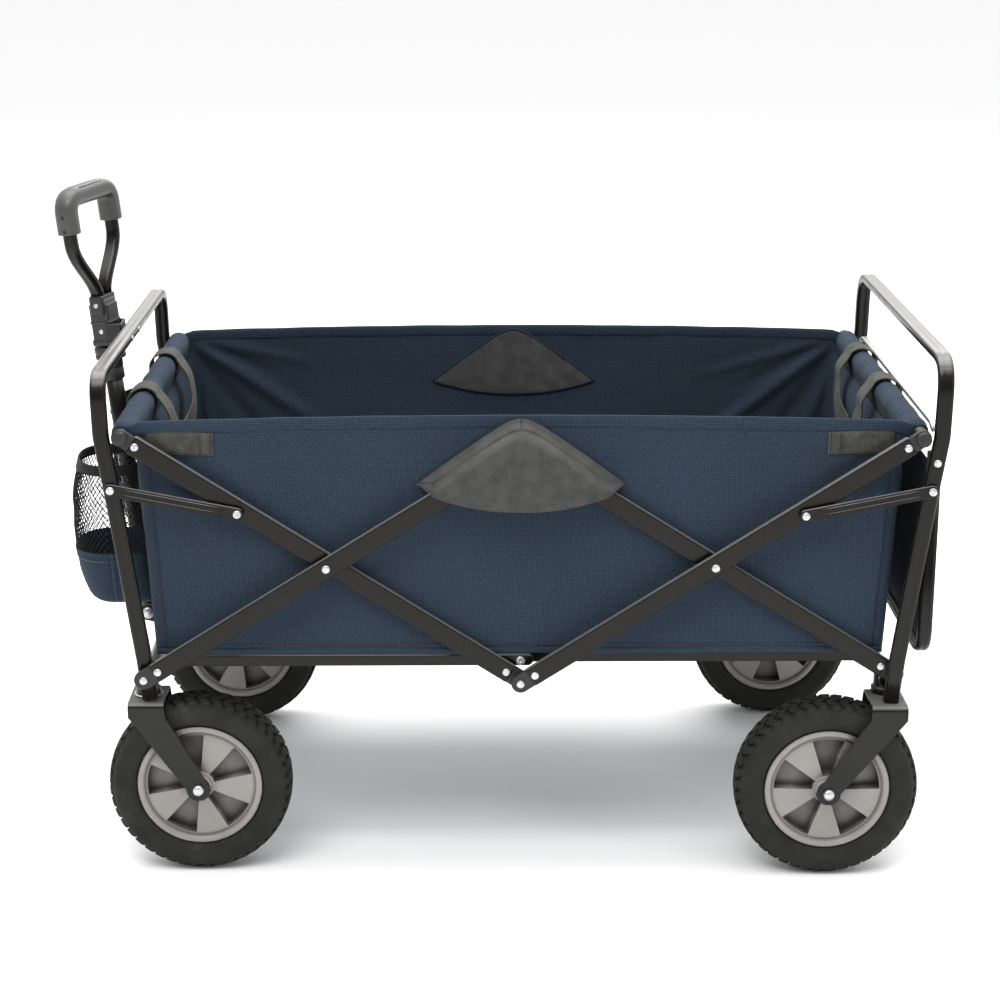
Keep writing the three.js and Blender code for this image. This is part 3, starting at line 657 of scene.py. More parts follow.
def link(end_name, side_name):
    """A pressed strip with two long ribs between a leg and an upper arm."""
    end, side = ENDS[end_name], SIDES[side_name]
    layer = (252.0, 255.5) if end < 0 else (264.0, 267.5)
    y_low, y_high = layer_at(side, layer)
    foot, head = mirrored(end, LINK_FOOT), mirrored(end, LINK_HEAD)
    plate = rounded_edges(side_plate("strip", bar_outline(foot, head, 13.5), y_low, y_high), 1.0, 3)
    plate.name = f"{end_name}_link_strip_{side_name}"
    finish(plate, f"{end_name}_links", FRAME_PAINT, "frame_steel", f"{end_name}_link_{side_name}")
    face = side * layer[1]
    direction = (Vector(head) - Vector(foot)).normalized()
    ribs = []
    for shift in (-3.0, 3.0):
        out = Vector((-direction.y, direction.x)) * shift
        a = Vector(on_line(foot, head, 15)) + out
        b = Vector(on_line(head, foot, 15)) + out
        path = [at(*(a.lerp(b, t / 6).x, face, a.lerp(b, t / 6).y)) for t in range(7)]
        ribs.append(sweep("rib", path, oval(1.5, 1.1, 12), (0, 0, 1)))
    thing = joined(f"{end_name}_link_ribs_{side_name}", ribs)
    finish(thing, f"{end_name}_links", FRAME_PAINT, "frame_steel")
    heads = [dome("rivet", at(p[0], face, p[1]), (0, side, 0), 4.4, 2.2) for p in (foot, head)]
    finish(joined(f"{end_name}_link_rivets_{side_name}", heads), f"{end_name}_links", ZINC, "zinc")


def floor_rail(end_name, side_name):
    end, side = ENDS[end_name], SIDES[side_name]
    layer = (230.0, 238.0) if end < 0 else (219.0, 227.0)
    y_low, y_high = layer_at(side, layer)
    outline = bar_outline(mirrored(end, RAIL_FOOT), (-end * 8.0, RAIL_FOOT[1]), 13.0)
    rail = rounded_edges(side_plate("rail", outline, y_low, y_high), 1.8, 3)
    rail.name = f"{end_name}_floor_rail_bar_{side_name}"
    finish(rail, f"{end_name}_floor_rails", FRAME_PAINT, "frame_steel",
           f"{end_name}_floor_rail_{side_name}")
    if end < 0:
        bolt = dome("bolt", at(0, side * 238.2, RAIL_FOOT[1]), (0, side, 0), 5.0, 3.5, hole=1.8)
        bolt.name = f"rail_hinge_bolt_{side_name}"
        finish(bolt, "front_floor_rails", ZINC, "zinc")


def top_tube(end_name):
    """A cross tube that shows at its ends, with the T-shaped moulded ends and caps."""
    end = ENDS[end_name]
    layer = INNER_LAYER if end < 0 else OUTER_LAYER
    x, z = mirrored(end, TUBE)
    reach = layer[0] - 1.0
    tube = sweep(f"{end_name}_tube", [at(x, y, z) for y in (-reach, 0, reach)], oval(8, 8, 28), (1, 0, 0))
    finish(tube, f"{end_name}_top_tube", FRAME_PAINT, "frame_steel", f"{end_name}_top_tube")
    for side_name, side in SIDES.items():
        y0, y1 = layer[0] - 0.6, layer[1] + 6.0
        profile = [(0.02, y0), (5.6, y0), (5.8, layer[1] + 0.6), (7.9, layer[1] + 0.8), (7.9, y1 - 1.2),
                   (6.9, y1), (0.02, y1)]
        profile = [(radius, side * along) for radius, along in profile]
        cap = turned(f"{end_name}_tube_end_{side_name}", profile, at(x, 0, z), "Y", 32, closed=False)
        finish(cap, f"{end_name}_top_tube", INSERT, "black_plastic", f"{end_name}_tube_cap_{side_name}")


# ---------- wheels ----------

SPOKES = 5


def rim_mesh(name, centre, turn):
    """A moulded rim: five wedge spokes between five deep pockets, on both faces."""
    face = [(6.2, 25, 0), (12.5, 25, 0), (14, 23.5, 0), (14.6, 18.6, 0), (16.0, 17.4, 0), (16.8, 17.2, 1),
            (40, 16.4, 1), (57.6, 15.4, 1), (58.6, 15.3, 0), (61.2, 14.6, 0), (62.4, 18.0, 0),
            (64.4, 19.6, 0), (67.2, 19.6, 0), (69.0, 18.2, 0)]
    profile = face + [(r, -y, m) for r, y, m in reversed(face)]
    sector = 2 * math.pi / SPOKES
    angles = []
    for spoke in range(SPOKES):
        start = turn + spoke * sector
        angles += [(start + sector * 0.5 * k / 5, 0.0) for k in range(6)]
        angles += [(start + sector * (0.52 + 0.46 * k / 5), 1.0) for k in range(6)]
    verts, faces, uvs = [], [], []
    for angle, is_pocket in angles:
        for radius, along, mask in profile:
            depth = 13.6 * is_pocket * mask * math.copysign(1, along)
            spot = Vector((radius * math.cos(angle), along - depth, radius * math.sin(angle)))
            verts.append(centre + spot * MM)
            uvs.append((radius * math.cos(angle) * MM, radius * math.sin(angle) * MM))
    count = len(profile)
    for s in range(len(angles)):
        s2 = (s + 1) % len(angles)
        faces += [(s * count + k, s * count + (k + 1) % count, s2 * count + (k + 1) % count, s2 * count + k)
                  for k in range(count)]
    rim = add_mesh(name, verts, faces, uvs)
    return rounded_edges(rim, 0.55, 2, 40)


def tread_block(verts, faces, centre, start, stop, inner, outer, skew, top):
    """A rubber block on the tread between two angles and two distances from the middle."""
    base = len(verts)
    for lift in (0, 1):
        for y, shift in ((inner, 0.0), ((inner + outer) / 2, skew / 2), (outer, skew)):
            for angle in (start + shift, (start + stop) / 2 + shift, stop + shift):
                radius = top(abs(y)) + (0.0 if lift else -5.5)
                taper = 0.006 * (1 - lift) * (1 if angle > (start + stop) / 2 + shift else -1)
                if abs(angle - (start + stop) / 2 - shift) < 1e-9:
                    taper = 0.0
                spot = Vector((radius * math.cos(angle + taper), y, radius * math.sin(angle + taper)))
                verts.append(centre + spot * MM)
    for row in range(2):
        for column in range(2):
            for level in (0, 9):
                a = base + level + row * 3 + column
                faces.append((a, a + 1, a + 4, a + 3))
    edges = ((0, 1), (1, 2), (2, 5), (5, 8), (8, 7), (7, 6), (6, 3), (3, 0))
    faces += [(base + a, base + b, base + 9 + b, base + 9 + a) for a, b in edges]


def tread_top(y):
    """The tread's outer radius at a distance from the middle."""
    return TYRE_RADIUS - 0.15 - 0.9 * (y / 12) ** 2 - (0.5 * max(0.0, y - 16) ** 1.6)


def tyre_mesh(name, centre, phase):
    """A tyre with side ridges, and its tread of staggered blocks with shoulder lugs."""
    half = [(69.5, 16.5), (71.6, 18.5), (75.0, 21.0), (77.5, 20.9), (84.0, 23.0), (90.0, 23.7), (93.2, 22.9),
            (95.0, 20.0), (96.6, 14.0), (97.2, 7.0)]
    profile = half + [(97.3, 0.0)] + [(r, -y) for r, y in reversed(half)]
    carcass = turned(name, profile, centre, "Y", 96)
    verts, faces = [], []
    pitches = 44
    pitch = 2 * math.pi / pitches
    for i in range(pitches):
        angle = phase + i * pitch
        for side in (-1, 1):
            shift = pitch * 0.5 * (side > 0)
            a = angle + shift
            tread_block(verts, faces, centre, a, a + pitch * 0.62, side * 0.7, side * 8.0, pitch * 0.42,
                        tread_top)
            tread_block(verts, faces, centre, a + pitch * 0.4, a + pitch * 1.06, side * 9.6, side * 15.6,
                        -pitch * 0.36, tread_top)
            tread_block(verts, faces, centre, a, a + pitch * 0.6, side * 16.8, side * 22.6, pitch * 0.05,
                        tread_top)
    blocks = add_mesh("blocks", verts, faces, [(v.x, v.z) for v in verts], smooth=False)
    rounded_edges(blocks, 0.45, 1, 30)
    blocks.name = f"{name}_tread"
    return carcass, blocks


def wheel(end_name, side_name, index):
    end, side = ENDS[end_name], SIDES[side_name]
    spec = FRONT_WHEEL if end < 0 else REAR_WHEEL
    centre = at(spec["x"], side * spec["y"], TYRE_RADIUS)
    body = f"{end_name}_{side_name}_wheel"
    stem = f"{end_name}_{side_name}"
    tyre, tread = tyre_mesh(f"{stem}_tyre_casing", centre, 0.3 * index)
    finish(tyre, body, RUBBER, "tyre_rubber", f"{stem}_tyre")
    finish(tread, body, RUBBER, "tyre_rubber")
    turn = {"front_left": 0.84, "rear_left": 0.62}.get(stem, 0.4 * index)
    rim = rim_mesh(f"{stem}_rim_moulding", centre, turn)
    finish(rim, body, RIM, "rim_plastic", f"{stem}_rim")


def fork(end_name, side_name):
    """Folded sheet steel: a flat top with round shoulders and two cheeks that slant to the axle."""
    end, side = ENDS[end_name], SIDES[side_name]
    spec = FRONT_WHEEL if end < 0 else REAR_WHEEL
    lean = math.copysign(1, spec["x"] - spec["top"])
    back, front = spec["top"] - lean * 19.5, spec["top"] + lean * 19.5
    axle_z, half, shoulder, eye = TYRE_RADIUS, 29.5, 5.0, 13.5
    levels = [axle_z - eye * math.cos(t * math.pi / 16) for t in range(1, 9)]
    levels += [120.0, 140.0, 160.0, 172.0, 180.0, 187.0, 191.0]
    stations = [(-half, z) for z in levels]
    for s in range(0, 7):
        t = math.pi / 2 * s / 6
        stations.append((-half + shoulder * (1 - math.cos(t)), 201.5 - shoulder + shoulder * math.sin(t)))
    stations += [(-half + shoulder + (half - shoulder) * k / 4, 201.5) for k in range(1, 5)]
    stations += [(-y, z) for y, z in reversed(stations[:-1])]

    def edges(z):
        """Where the sheet begins and ends along X at a height."""
        if z < axle_z:
            reach = math.sqrt(max(eye ** 2 - (axle_z - z) ** 2, 0.0))
            return spec["x"] - lean * reach, spec["x"] + lean * reach
        rise = (z - axle_z) / (187.0 - axle_z)
        low, high = spec["x"] - lean * eye, spec["x"] + lean * eye
        a = low + (back - low) * min(rise, 1.0)
        b = high + (front + lean * 1.5 - high) * min(rise, 1.0)
        return a, b - lean * 1.5 * max(0.0, rise - 1.0) * 5

    def spot(u, v):
        place = v * (len(stations) - 1)
        y, z = stations[round(place)]
        a, b = edges(z)
        return at(a + (b - a) * u, side * spec["y"] + y, z)

    sheet = grid(f"{end_name}_{side_name}_fork_sheet", spot, 6, len(stations) - 1, (0.04, 0.3))
    thicken(sheet, 3.0)
    rounded_edges(sheet, 0.9, 3, 50)
    body = "rear_frame" if end > 0 else f"front_{side_name}_caster"
    finish(sheet, body, FORK_PAINT, "fork_steel", f"{end_name}_{side_name}_fork")
    centre = at(spec["x"], side * spec["y"], axle_z)
    bolt = [(0.02, -36.6), (3.9, -36.4), (6.0, -35), (6.2, -31.2), (5, -31.2), (5, 31.2), (6.2, 31.2),
            (6.0, 35), (3.9, 36.4), (0.02, 36.6)]
    axle = turned(f"{end_name}_{side_name}_axle", bolt, centre, "Y", 24, closed=False)
    finish(axle, body, ZINC, "zinc", f"{end_name}_{side_name}_axle_bolt")
    if end < 0:
        collar = [(0.02, 204.2), (16, 204.2), (16, 205.4), (7, 205.4), (0.02, 205.4)]
        ring = turned(f"{side_name}_caster_bearing", collar, at(spec["top"], side * spec["y"], 0), "Z", 32,
                      closed=False)
        finish(ring, body, ZINC, "zinc")


def kingpin(side_name):
    side = SIDES[side_name]
    profile = [(0.02, 194.5), (6.8, 195), (8.8, 196.4), (8.8, 199.2), (5.9, 199.2), (5.9, 231.5),
               (8.5, 231.5), (8.5, 234), (6.5, 236), (0.02, 236)]
    pin = turned(f"{side_name}_kingpin", profile, at(FRONT_WHEEL["top"], side * FRONT_WHEEL["y"], 0), "Z",
                 24, closed=False)
    finish(pin, "front_frame", ZINC, "zinc", f"caster_pin_{side_name}")


for end_name in ENDS:
    hoop(end_name)
    cross_bar(end_name)
    top_tube(end_name)
    for side_name in SIDES:
        arm(end_name, "upper", side_name)
        arm(end_name, "lower", side_name)
        link(end_name, side_name)
        floor_rail(end_name, side_name)
        fork(end_name, side_name)
        wheel(end_name, side_name, 2 * (end_name == "rear") + (side_name == "right"))
for side_name in SIDES:
    kingpin(side_name)

# ---------- tub cloth ----------

def smoothstep(low, high, value):
    t = min(max((value - low) / (high - low), 0.0), 1.0)
    return t * t * (3 - 2 * t)


def ripple(a, b, scale, seed):
    """Smooth noise from -1 to 1 over a wall, with features of about scale mm."""
    return noise.noise(Vector((a / scale, b / scale, seed)))


def crease(a, b, start, angle, length, width, height, spread=1.6):
    """A fold that runs from a point, widens, and fades out; heights are out of the cloth in mm."""
    along_a, along_b = math.cos(math.radians(angle)), math.sin(math.radians(angle))
    da, db = a - start[0], b - start[1]
    t = (da * along_a + db * along_b) / length
    if not 0 < t < 1:
        return 0.0
    off = (db * along_a - da * along_b) / (width * (1 + (spread - 1) * t))
    return height * (4 * t * (1 - t)) ** 0.6 * math.exp(-off * off) * math.cos(1.6 * off)


TUB_LOW_X, TUB_HIGH_X = 398.0, 412.0
TUB_CORNER = 13.0
TUB_FLARE = 10.0


def tub_half_length(z):
    """Half the tub's length at a height: it leans out, and flares where it meets the sleeves."""
    lean = (TUB_HIGH_X - TUB_LOW_X) * (z - WALL_BOTTOM) / (519.0 - WALL_BOTTOM)
    return TUB_LOW_X + lean + TUB_FLARE * smoothstep(462.0, 502.0, z)


def tub_top(x):
    return 509.0 + 7.0 * (1 - (x / 422.0) ** 2)


# folds that fan out of a side wall's upper corners: (x, z), angle, length, width, height
CORNER_FOLDS = (
    ((416.0, 508.0), 218, 235, 8.0, -6.5), ((416.0, 500.0), 236, 230, 9.0, 5.5),
    ((415.0, 508.0), 196, 190, 5.0, -3.2), ((412.0, 488.0), 250, 190, 7.0, -4.5),
    ((416.0, 508.0), 207, 160, 5.0, 3.0), ((404.0, 440.0), 262, 150, 8.0, 2.6),
)


def side_relief(side, x, z):
    """How far a side wall stands out of its plane, in mm, outwards positive."""
    free = smoothstep(0, 40, 421 - abs(x)) * smoothstep(-2, 26, z - WALL_BOTTOM)
    free *= smoothstep(-1, 14, tub_top(x) - z)
    relief = 1.3 * ripple(x, z, 120, 3.1 * side) + 0.45 * ripple(x, z * 0.6, 38, 7.7 * side)
    relief += 0.9 * ripple(x * 0.35, z, 60, 11.0 * side)
    strength = 0.34 if side < 0 else 1.0
    for start, angle, length, width, height in CORNER_FOLDS:
        relief += strength * height * crease(x, z, start, angle, length, width, 1.0)
        mirror = (-start[0], start[1])
        shift = 4 if start[1] > 495 else -5
        relief += 0.8 * strength * height * crease(x, z, mirror, 180 - angle + shift, length * 0.85,
                                                   width * 1.1, 1.0)
    relief += 1.6 * crease(x, z, (300 * side, 268), 168, 330, 9, 1.0)
    return max(min(relief * free, 3.2), -9.0)


def end_relief(end, y, z):
    free = smoothstep(0, 34, WALL_Y - abs(y)) * smoothstep(-2, 26, z - WALL_BOTTOM)
    free *= smoothstep(0, 16, 500 - z)
    relief = 2.4 * ripple(y, z * 0.5, 70, 17.0 * end) + 0.8 * ripple(y, z, 30, 23.0 * end)
    for start, angle, length, width, height in CORNER_FOLDS[:4]:
        spot = (start[0] - 416 + WALL_Y, start[1] - 12)
        relief += 0.7 * height * crease(y, z, spot, angle + 18, length * 0.7, width, 1.0)
        relief += 0.7 * height * crease(y, z, (-spot[0], spot[1]), 162 - angle, length * 0.7, width, 1.0)
    relief -= 5.0 * math.exp(-((abs(y) - 100) / 60) ** 2) * math.exp(-((z - 455) / 30) ** 2)
    return max(min(relief * free, 3.0), -8.0)


def tub_columns():
    """Where the cloth goes round the tub: (wall, place along it, turn of its face)."""
    columns = [("near", -1 + 2 * k / 132, 0) for k in range(133)]
    columns += [("rear_near", k / 7, 0) for k in range(1, 7)]
    columns += [("rear", -1 + 2 * k / 74, 0) for k in range(75)]
    columns += [("rear_far", k / 7, 0) for k in range(1, 7)]
    columns += [("far", 1 - 2 * k / 132, 0) for k in range(133)]
    columns += [("front_far", k / 7, 0) for k in range(1, 7)]
    columns += [("front", 1 - 2 * k / 74, 0) for k in range(75)]
    columns += [("front_near", k / 7, 0) for k in range(1, 7)]
    return columns


def tub_point(wall, place, z):
    """A point of the tub's walls in mm: its place on the plan, pushed out by the folds."""
    half_x, half_y = tub_half_length(z) - TUB_CORNER, WALL_Y - TUB_CORNER
    if wall in ("near", "far"):
        side = -1 if wall == "near" else 1
        x = place * half_x
        return x, side * (WALL_Y + side_relief(side, x, z))
    if wall in ("front", "rear"):
        end = ENDS[wall]
        y = place * half_y
        return end * (half_x + TUB_CORNER + end_relief(end, y, z)), y
    end_name, side_name = wall.split("_")
    end, side = ENDS[end_name], (-1 if side_name == "near" else 1)
    t = place * math.pi / 2
    if wall in ("rear_near", "front_far"):
        along, out = math.sin(t), math.cos(t)
    else:
        along, out = math.cos(t), math.sin(t)
    return end * (half_x + TUB_CORNER * along), side * (half_y + TUB_CORNER * out)


def tub_walls():
    columns = tub_columns()
    rows = 46
    verts, uvs, faces = [], [], []
    for r in range(rows + 1):
        v = r / rows
        run = 0.0
        last = None
        for wall, place, _ in columns:
            top = tub_top(place * 420) if wall in ("near", "far") else 509.0
            z = WALL_BOTTOM + v * (top - WALL_BOTTOM)
            x, y = tub_point(wall, place, z)
            spot = at(x, y, z)
            if last is not None:
                run += math.hypot(spot.x - last.x, spot.y - last.y)
            last = spot
            verts.append(spot)
            uvs.append((run, z * MM))
    count = len(columns)
    for r in range(rows):
        for c in range(count):
            c2 = (c + 1) % count
            faces.append((r * count + c, r * count + c2, (r + 1) * count + c2, (r + 1) * count + c))
    walls = add_mesh("tub_walls", verts, faces, uvs)
    return thicken(walls, 1.6)


def on_tub(thing, material, *nodes, slot="canvas"):
    """A piece of the tub, which hangs from the front cross tube."""
    finish(thing, "front_top_tube", material, slot, *nodes)
    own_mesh(thing)
    return thing


def wall_spot(side, x, z, out=0.0):
    """A point on a side wall, some mm out of its face."""
    return at(x, side * (WALL_Y + side_relief(side, x, z) + out), z)


def hem(side, name):
    """The folded top edge of a side wall."""
    path = []
    for k in range(97):
        x = -421 + 842 * k / 96
        z = tub_top(x) - 0.6 - 5.0 * smoothstep(400, 421, abs(x)) + 0.5 * ripple(x, 0, 45, 5 * side)
        path.append(at(x, side * (WALL_Y + 0.3 + 0.5 * ripple(x, 9, 60, 2 * side)), z))
    section = oval(7.0, 2.3, 28, 2.8)
    return sweep(name, path, section, (0, 0, 1))


def line_on_wall(name, points, radius=0.8):
    """A thin raised line, a seam or piping, along points in metres."""
    path = rounded(points, 0.012, 4) if len(points) < 8 else points
    return sweep(name, path, oval(radius, radius, 8), (0.3, 0.5, 0.8))


def sleeve_section_radius(end, y, turn):
    """The sleeve's radius around its tube: wrinkled, and pulled in by the straps."""
    wrinkle = 0.8 * ripple(y * 1.0, turn * 22, 26, 31 * end) + 0.55 * ripple(y * 1.6, turn * 9, 13, 37 * end)
    skewed = 0.6 * math.sin((y + 12 * math.sin(turn)) / 9.5 + 3 * ripple(y, 0, 60, 41 * end))
    fade = 0.5 + 0.5 * ripple(y, 4, 50, 43 * end)
    pinch = sum(1.3 * math.exp(-((y - strap_y) / 11) ** 2) for strap_y in STRAPS[end])
    full = SLEEVE_RADIUS - 0.6 - 2.6 * math.cos(turn) + wrinkle + skewed * fade - pinch
    return full + (8.9 - full) * smoothstep(226, SLEEVE_END, abs(y)) ** 2


STRAPS = {-1: (-75.0, 105.0), 1: (-35.0, 125.0)}


SLEEVE_END = 238.0


def sleeve(end_name):
    """The cloth wrapped round a cross tube, with its tail sewn to the end wall."""
    end = ENDS[end_name]
    verts, uvs, faces = [], [], []
    columns, rings = 120, 34
    seam = (413.0 - TUBE[0], 482.0 - TUBE[1])
    for c in range(columns + 1):
        y = SLEEVE_END * (2 * c / columns - 1)
        for r in range(rings + 1):
            t = r / rings
            if t < 0.86:
                turn = math.radians(-150 + 352 * t / 0.86)
                radius = sleeve_section_radius(end, y, turn)
                dx, dz = radius * math.cos(turn), radius * math.sin(turn)
            else:
                s = (t - 0.86) / 0.14
                last = math.radians(202)
                radius = sleeve_section_radius(end, y, last)
                dx = radius * math.cos(last) * (1 - s) + seam[0] * s
                dz = radius * math.sin(last) * (1 - s) + seam[1] * s
            verts.append(at(end * (TUBE[0] + dx), y, TUBE[1] + dz))
            uvs.append((y * MM, t * 0.085))
    wide = rings + 1
    for c in range(columns):
        for r in range(rings):
            faces.append((c * wide + r, c * wide + r + 1, (c + 1) * wide + r + 1, (c + 1) * wide + r))
    return thicken(add_mesh(f"{end_name}_sleeve", verts, faces, uvs), 1.4)


def ribbon(name, centres, width, turns, thickness=1.5, columns=6):
    """A flat strap along points in metres; turns gives each station's direction across."""
    verts, uvs, faces = [], [], []
    run = 0.0
    for i, (centre, across) in enumerate(zip(centres, turns)):
        if i:
            run += (centre - centres[i - 1]).length
        for c in range(columns + 1):
            t = c / columns - 0.5
            verts.append(centre + across.normalized() * (t * width * MM))
            uvs.append((t * width * MM, run))
    wide = columns + 1
    for i in range(len(centres) - 1):
        for c in range(columns):
            faces.append((i * wide + c, i * wide + c + 1, (i + 1) * wide + c + 1, (i + 1) * wide + c))
    strap = thicken(add_mesh(name, verts, faces, uvs), thickness)
    return rounded_edges(strap, 0.35, 2, 60)


def carry_strap(end_name):
    """A webbing handle: from the outside over the cross tube, hanging in a loop inside the tub."""
    end = ENDS[end_name]
    near, far = STRAPS[end]
    middle = (near + far) / 2
    radius = SLEEVE_RADIUS + 1.6
    half = [(near, -radius - 0.5, -34.0, 0), (near, -radius - 0.5, -16.0, 0)]
    for k in range(9):
        turn = math.pi * (1 - k / 8 * 0.9)
        lift = 5.0 * smoothstep(0.35, 0.95, k / 8)
        half.append((near, (radius + lift) * math.cos(turn), (radius + lift) * math.sin(turn) + 0.4, 0))
    bulge = {"front": 0.8, "rear": 0.68}[end_name]
    half += [(near + 1, 29.0, -9.0, 0.03), (near + 4, 42.0 * bulge, -24.0, 0.1),
             (near + 13, 46.0 * bulge, -43.0, 0.32), (near + 31, 44.0 * bulge, -60.0, 0.62),
             (near + 56, 38.0 * bulge, -71.0, 0.85)]
    stations = half + [(middle, 36.0 * bulge, -75.0, 1.0)]
    stations += [(near + far - y, dx, dz, tilt) for y, dx, dz, tilt in reversed(half)]
    points = [Vector((end * (TUBE[0] - dx), y, TUBE[1] + dz)) for y, dx, dz, _ in stations]
    across = []
    for (y, _, _, tilt) in stations:
        lean = Vector((0, 1, 0)).lerp(Vector((0.0, 0, 1 if y <= middle else -1)), tilt)
        across.append(lean)
    centres, turns = smooth_curve(points, 4), smooth_curve(across, 4)
    return ribbon(f"{end_name}_carry_strap", [at(*p) for p in centres], 35.0, turns, 1.7)


def smooth_curve(points, steps):
    """Catmull-Rom points through a list of vectors."""
    curve = []
    for i in range(len(points) - 1):
        p0, p1 = points[max(i - 1, 0)], points[i]
        p2, p3 = points[i + 1], points[min(i + 2, len(points) - 1)]
        for s in range(steps):
            t = s / steps
            curve.append(0.5 * ((2 * p1) + (p2 - p0) * t + (2 * p0 - 5 * p1 + 4 * p2 - p3) * t * t
                                + (3 * p1 - p0 - 3 * p2 + p3) * t ** 3))
    curve.append(points[-1])
    return curve


def wall_tab(end, side):
    """A short webbing tab sewn on a side wall under its hem."""
    low, high = 478.5, 503.5
    inner, outer = 327.0, 398.0
    verts_x = [inner + (outer - inner) * k / 12 for k in range(13)]

    def spot(u, v):
        x = end * verts_x[round(u * 12)]
        z = low + (high - low) * v + 0.8 * math.sin(u * 3.0)
        lift = 1.5 + 0.5 * math.sin(u * math.pi)
        return at(x, side * (WALL_Y + min(side_relief(side, x, z), 1.4) + lift), z)

    tab = grid("tab", spot, 12, 6, (0.071, 0.025))
    return thicken(tab, 1.2)


def tab_trim(end, side):
    """Two rows of thread at the tab's sewn end."""
    parts = []
    for x in (330.0, 341.0):
        points = [at(end * x, side * (WALL_Y + 3.4), z) for z in (479.5, 491, 502.5)]
        parts.append(sweep("thread", points, oval(0.45, 0.45, 6), (1, 0, 0)))
    return joined("trim", parts)


# ---------- patches over the upper middle pivots ----------

PATCH_HALF, PATCH_APEX, PATCH_CORNER_Z, PATCH_LOW = 111.0, 519.0, 448.0, 423.0


def patch_edges(t, half, apex, corner, low, blunt=16.0):
    """The lower and upper height of a patch at t from -1 to 1 across it."""
    x = abs(t) * half
    rise = (apex - corner) * (1 - math.sqrt(x * x + blunt * blunt) / math.sqrt(half ** 2 + blunt ** 2))
    sag = (corner - 1.5 - low) * abs(t) ** 2.1
    top = corner + rise * (apex - corner) / ((apex - corner) * (1 - blunt / math.sqrt(half ** 2 + blunt ** 2)))
    return low + sag, max(top, low + sag + 1.5)


def outer_patch(side):
    """The cloth that covers a pivot on the outside; it stands off the wall over the arms."""
    def spot(u, v):
        t = 2 * u - 1
        x = t * PATCH_HALF
        bottom, top = patch_edges(t, PATCH_HALF, PATCH_APEX, PATCH_CORNER_Z, PATCH_LOW)
        z = bottom + (top - bottom) * v
        edge = min((top - z) * 0.84, (PATCH_HALF - abs(x)) * 0.75)
        out = 4.2 + 26.0 * smoothstep(0, 17, edge)
        out -= 3.0 * smoothstep(0, 30, 20 - abs(x)) * smoothstep(0, 26, 446 - z)
        folds = 1.1 * math.sin((z - 423) / 4.3 + 1.6 * t) * smoothstep(0.1, 0.6, t + 0.35)
        folds *= smoothstep(0, 22, 462 - z)
        out += folds + 1.0 * ripple(x, z, 34, 51 * side) + 0.4 * ripple(x, z, 12, 53 * side)
        return at(x, side * (WALL_Y + max(out, 3.0)), z)

    sheet = grid(f"outer_patch_{'left' if side < 0 else 'right'}", spot, 96, 46, (0.222, 0.096))
    return thicken(sheet, 1.3)


def patch_fold(side):
    """The turned-over band along the patch's sloping edges."""
    parts = []
    for direction in (-1, 1):
        def spot(u, v, direction=direction):
            t = direction * (0.004 + 0.975 * u)
            x = t * PATCH_HALF
            top = patch_edges(t, PATCH_HALF, PATCH_APEX, PATCH_CORNER_Z, PATCH_LOW)[1]
            band = 10.5 * min(1.0, (1 - abs(t)) * 6)
            z = top + 0.6 - band * v
            edge = min((top - z) * 0.84, (PATCH_HALF - abs(x)) * 0.75)
            out = 4.2 + 26.0 * smoothstep(0, 17, max(edge, 0.0)) + 1.5 + 0.35 * ripple(x, z, 20, 57 * side)
            return at(x, side * (WALL_Y + out), z)
        parts.append(thicken(grid("band", spot, 48, 4, (0.13, 0.0105)), 1.1))
    return joined(f"outer_patch_band_{'left' if side < 0 else 'right'}", parts)


def patch_piping(side, half, apex, corner, low, out, name):
    """A thin corded edge along a patch's upper outline."""
    path = []
    for k in range(81):
        t = -1 + 2 * k / 80
        top = patch_edges(t, half, apex, corner, low)[1]
        path.append(at(t * half, side * (WALL_Y + out(t)), top + 0.9))
    return sweep(name, path, oval(1.0, 1.0, 10), (0, 1, 0))


INNER_PATCH = (102.0, 517.0, 452.0, 434.0)


def inner_patch(side):
    half, apex, corner, low = INNER_PATCH

    def spot(u, v):
        t = 2 * u - 1
        bottom, top = patch_edges(t, half, apex, corner, low)
        z = bottom + (top - bottom) * v
        x = t * half
        puff = 1.6 * math.sin(math.pi * v) ** 0.6 * (1 - t * t)
        return at(x, side * (WALL_Y + side_relief(side, x, z) - 2.2 - puff
                             - 0.5 * ripple(x, z, 22, 61 * side)), z)

    sheet = grid(f"inner_patch_{'left' if side < 0 else 'right'}", spot, 80, 30, (0.204, 0.08))
    return thicken(sheet, 1.1)


def inner_patch_binding(side):
    """The bound edge round an inner patch."""
    half, apex, corner, low = INNER_PATCH
    loop = []
    for k in range(73):
        t = -1 + 2 * k / 72
        loop.append((t * half, patch_edges(t, half, apex, corner, low)[1]))
    for k in range(1, 72):
        t = 1 - 2 * k / 72
        loop.append((t * half, patch_edges(t, half, apex, corner, low)[0]))
    path = [at(x, side * (WALL_Y + side_relief(side, x, z) - 2.6), z) for x, z in loop]
    return sweep(f"inner_patch_binding_{'left' if side < 0 else 'right'}", path, oval(1.5, 0.9, 10),
                 (0, 0, 1), closed=True)


# ---------- floor ----------

def tub_floor():
    half_x, half_y = TUB_LOW_X - 3, WALL_Y - 3

    def spot(u, v):
        x, y = (2 * u - 1) * half_x, (2 * v - 1) * half_y
        sag = 1.2 * math.sin(math.pi * u) * math.sin(math.pi * v) * (1 + ripple(x, y, 90, 71))
        return at(x, y, WALL_BOTTOM + 2.6 - sag)

    return thicken(grid("tub_floor", spot, 80, 48, (2 * half_x * MM, 2 * half_y * MM)), 1.4)


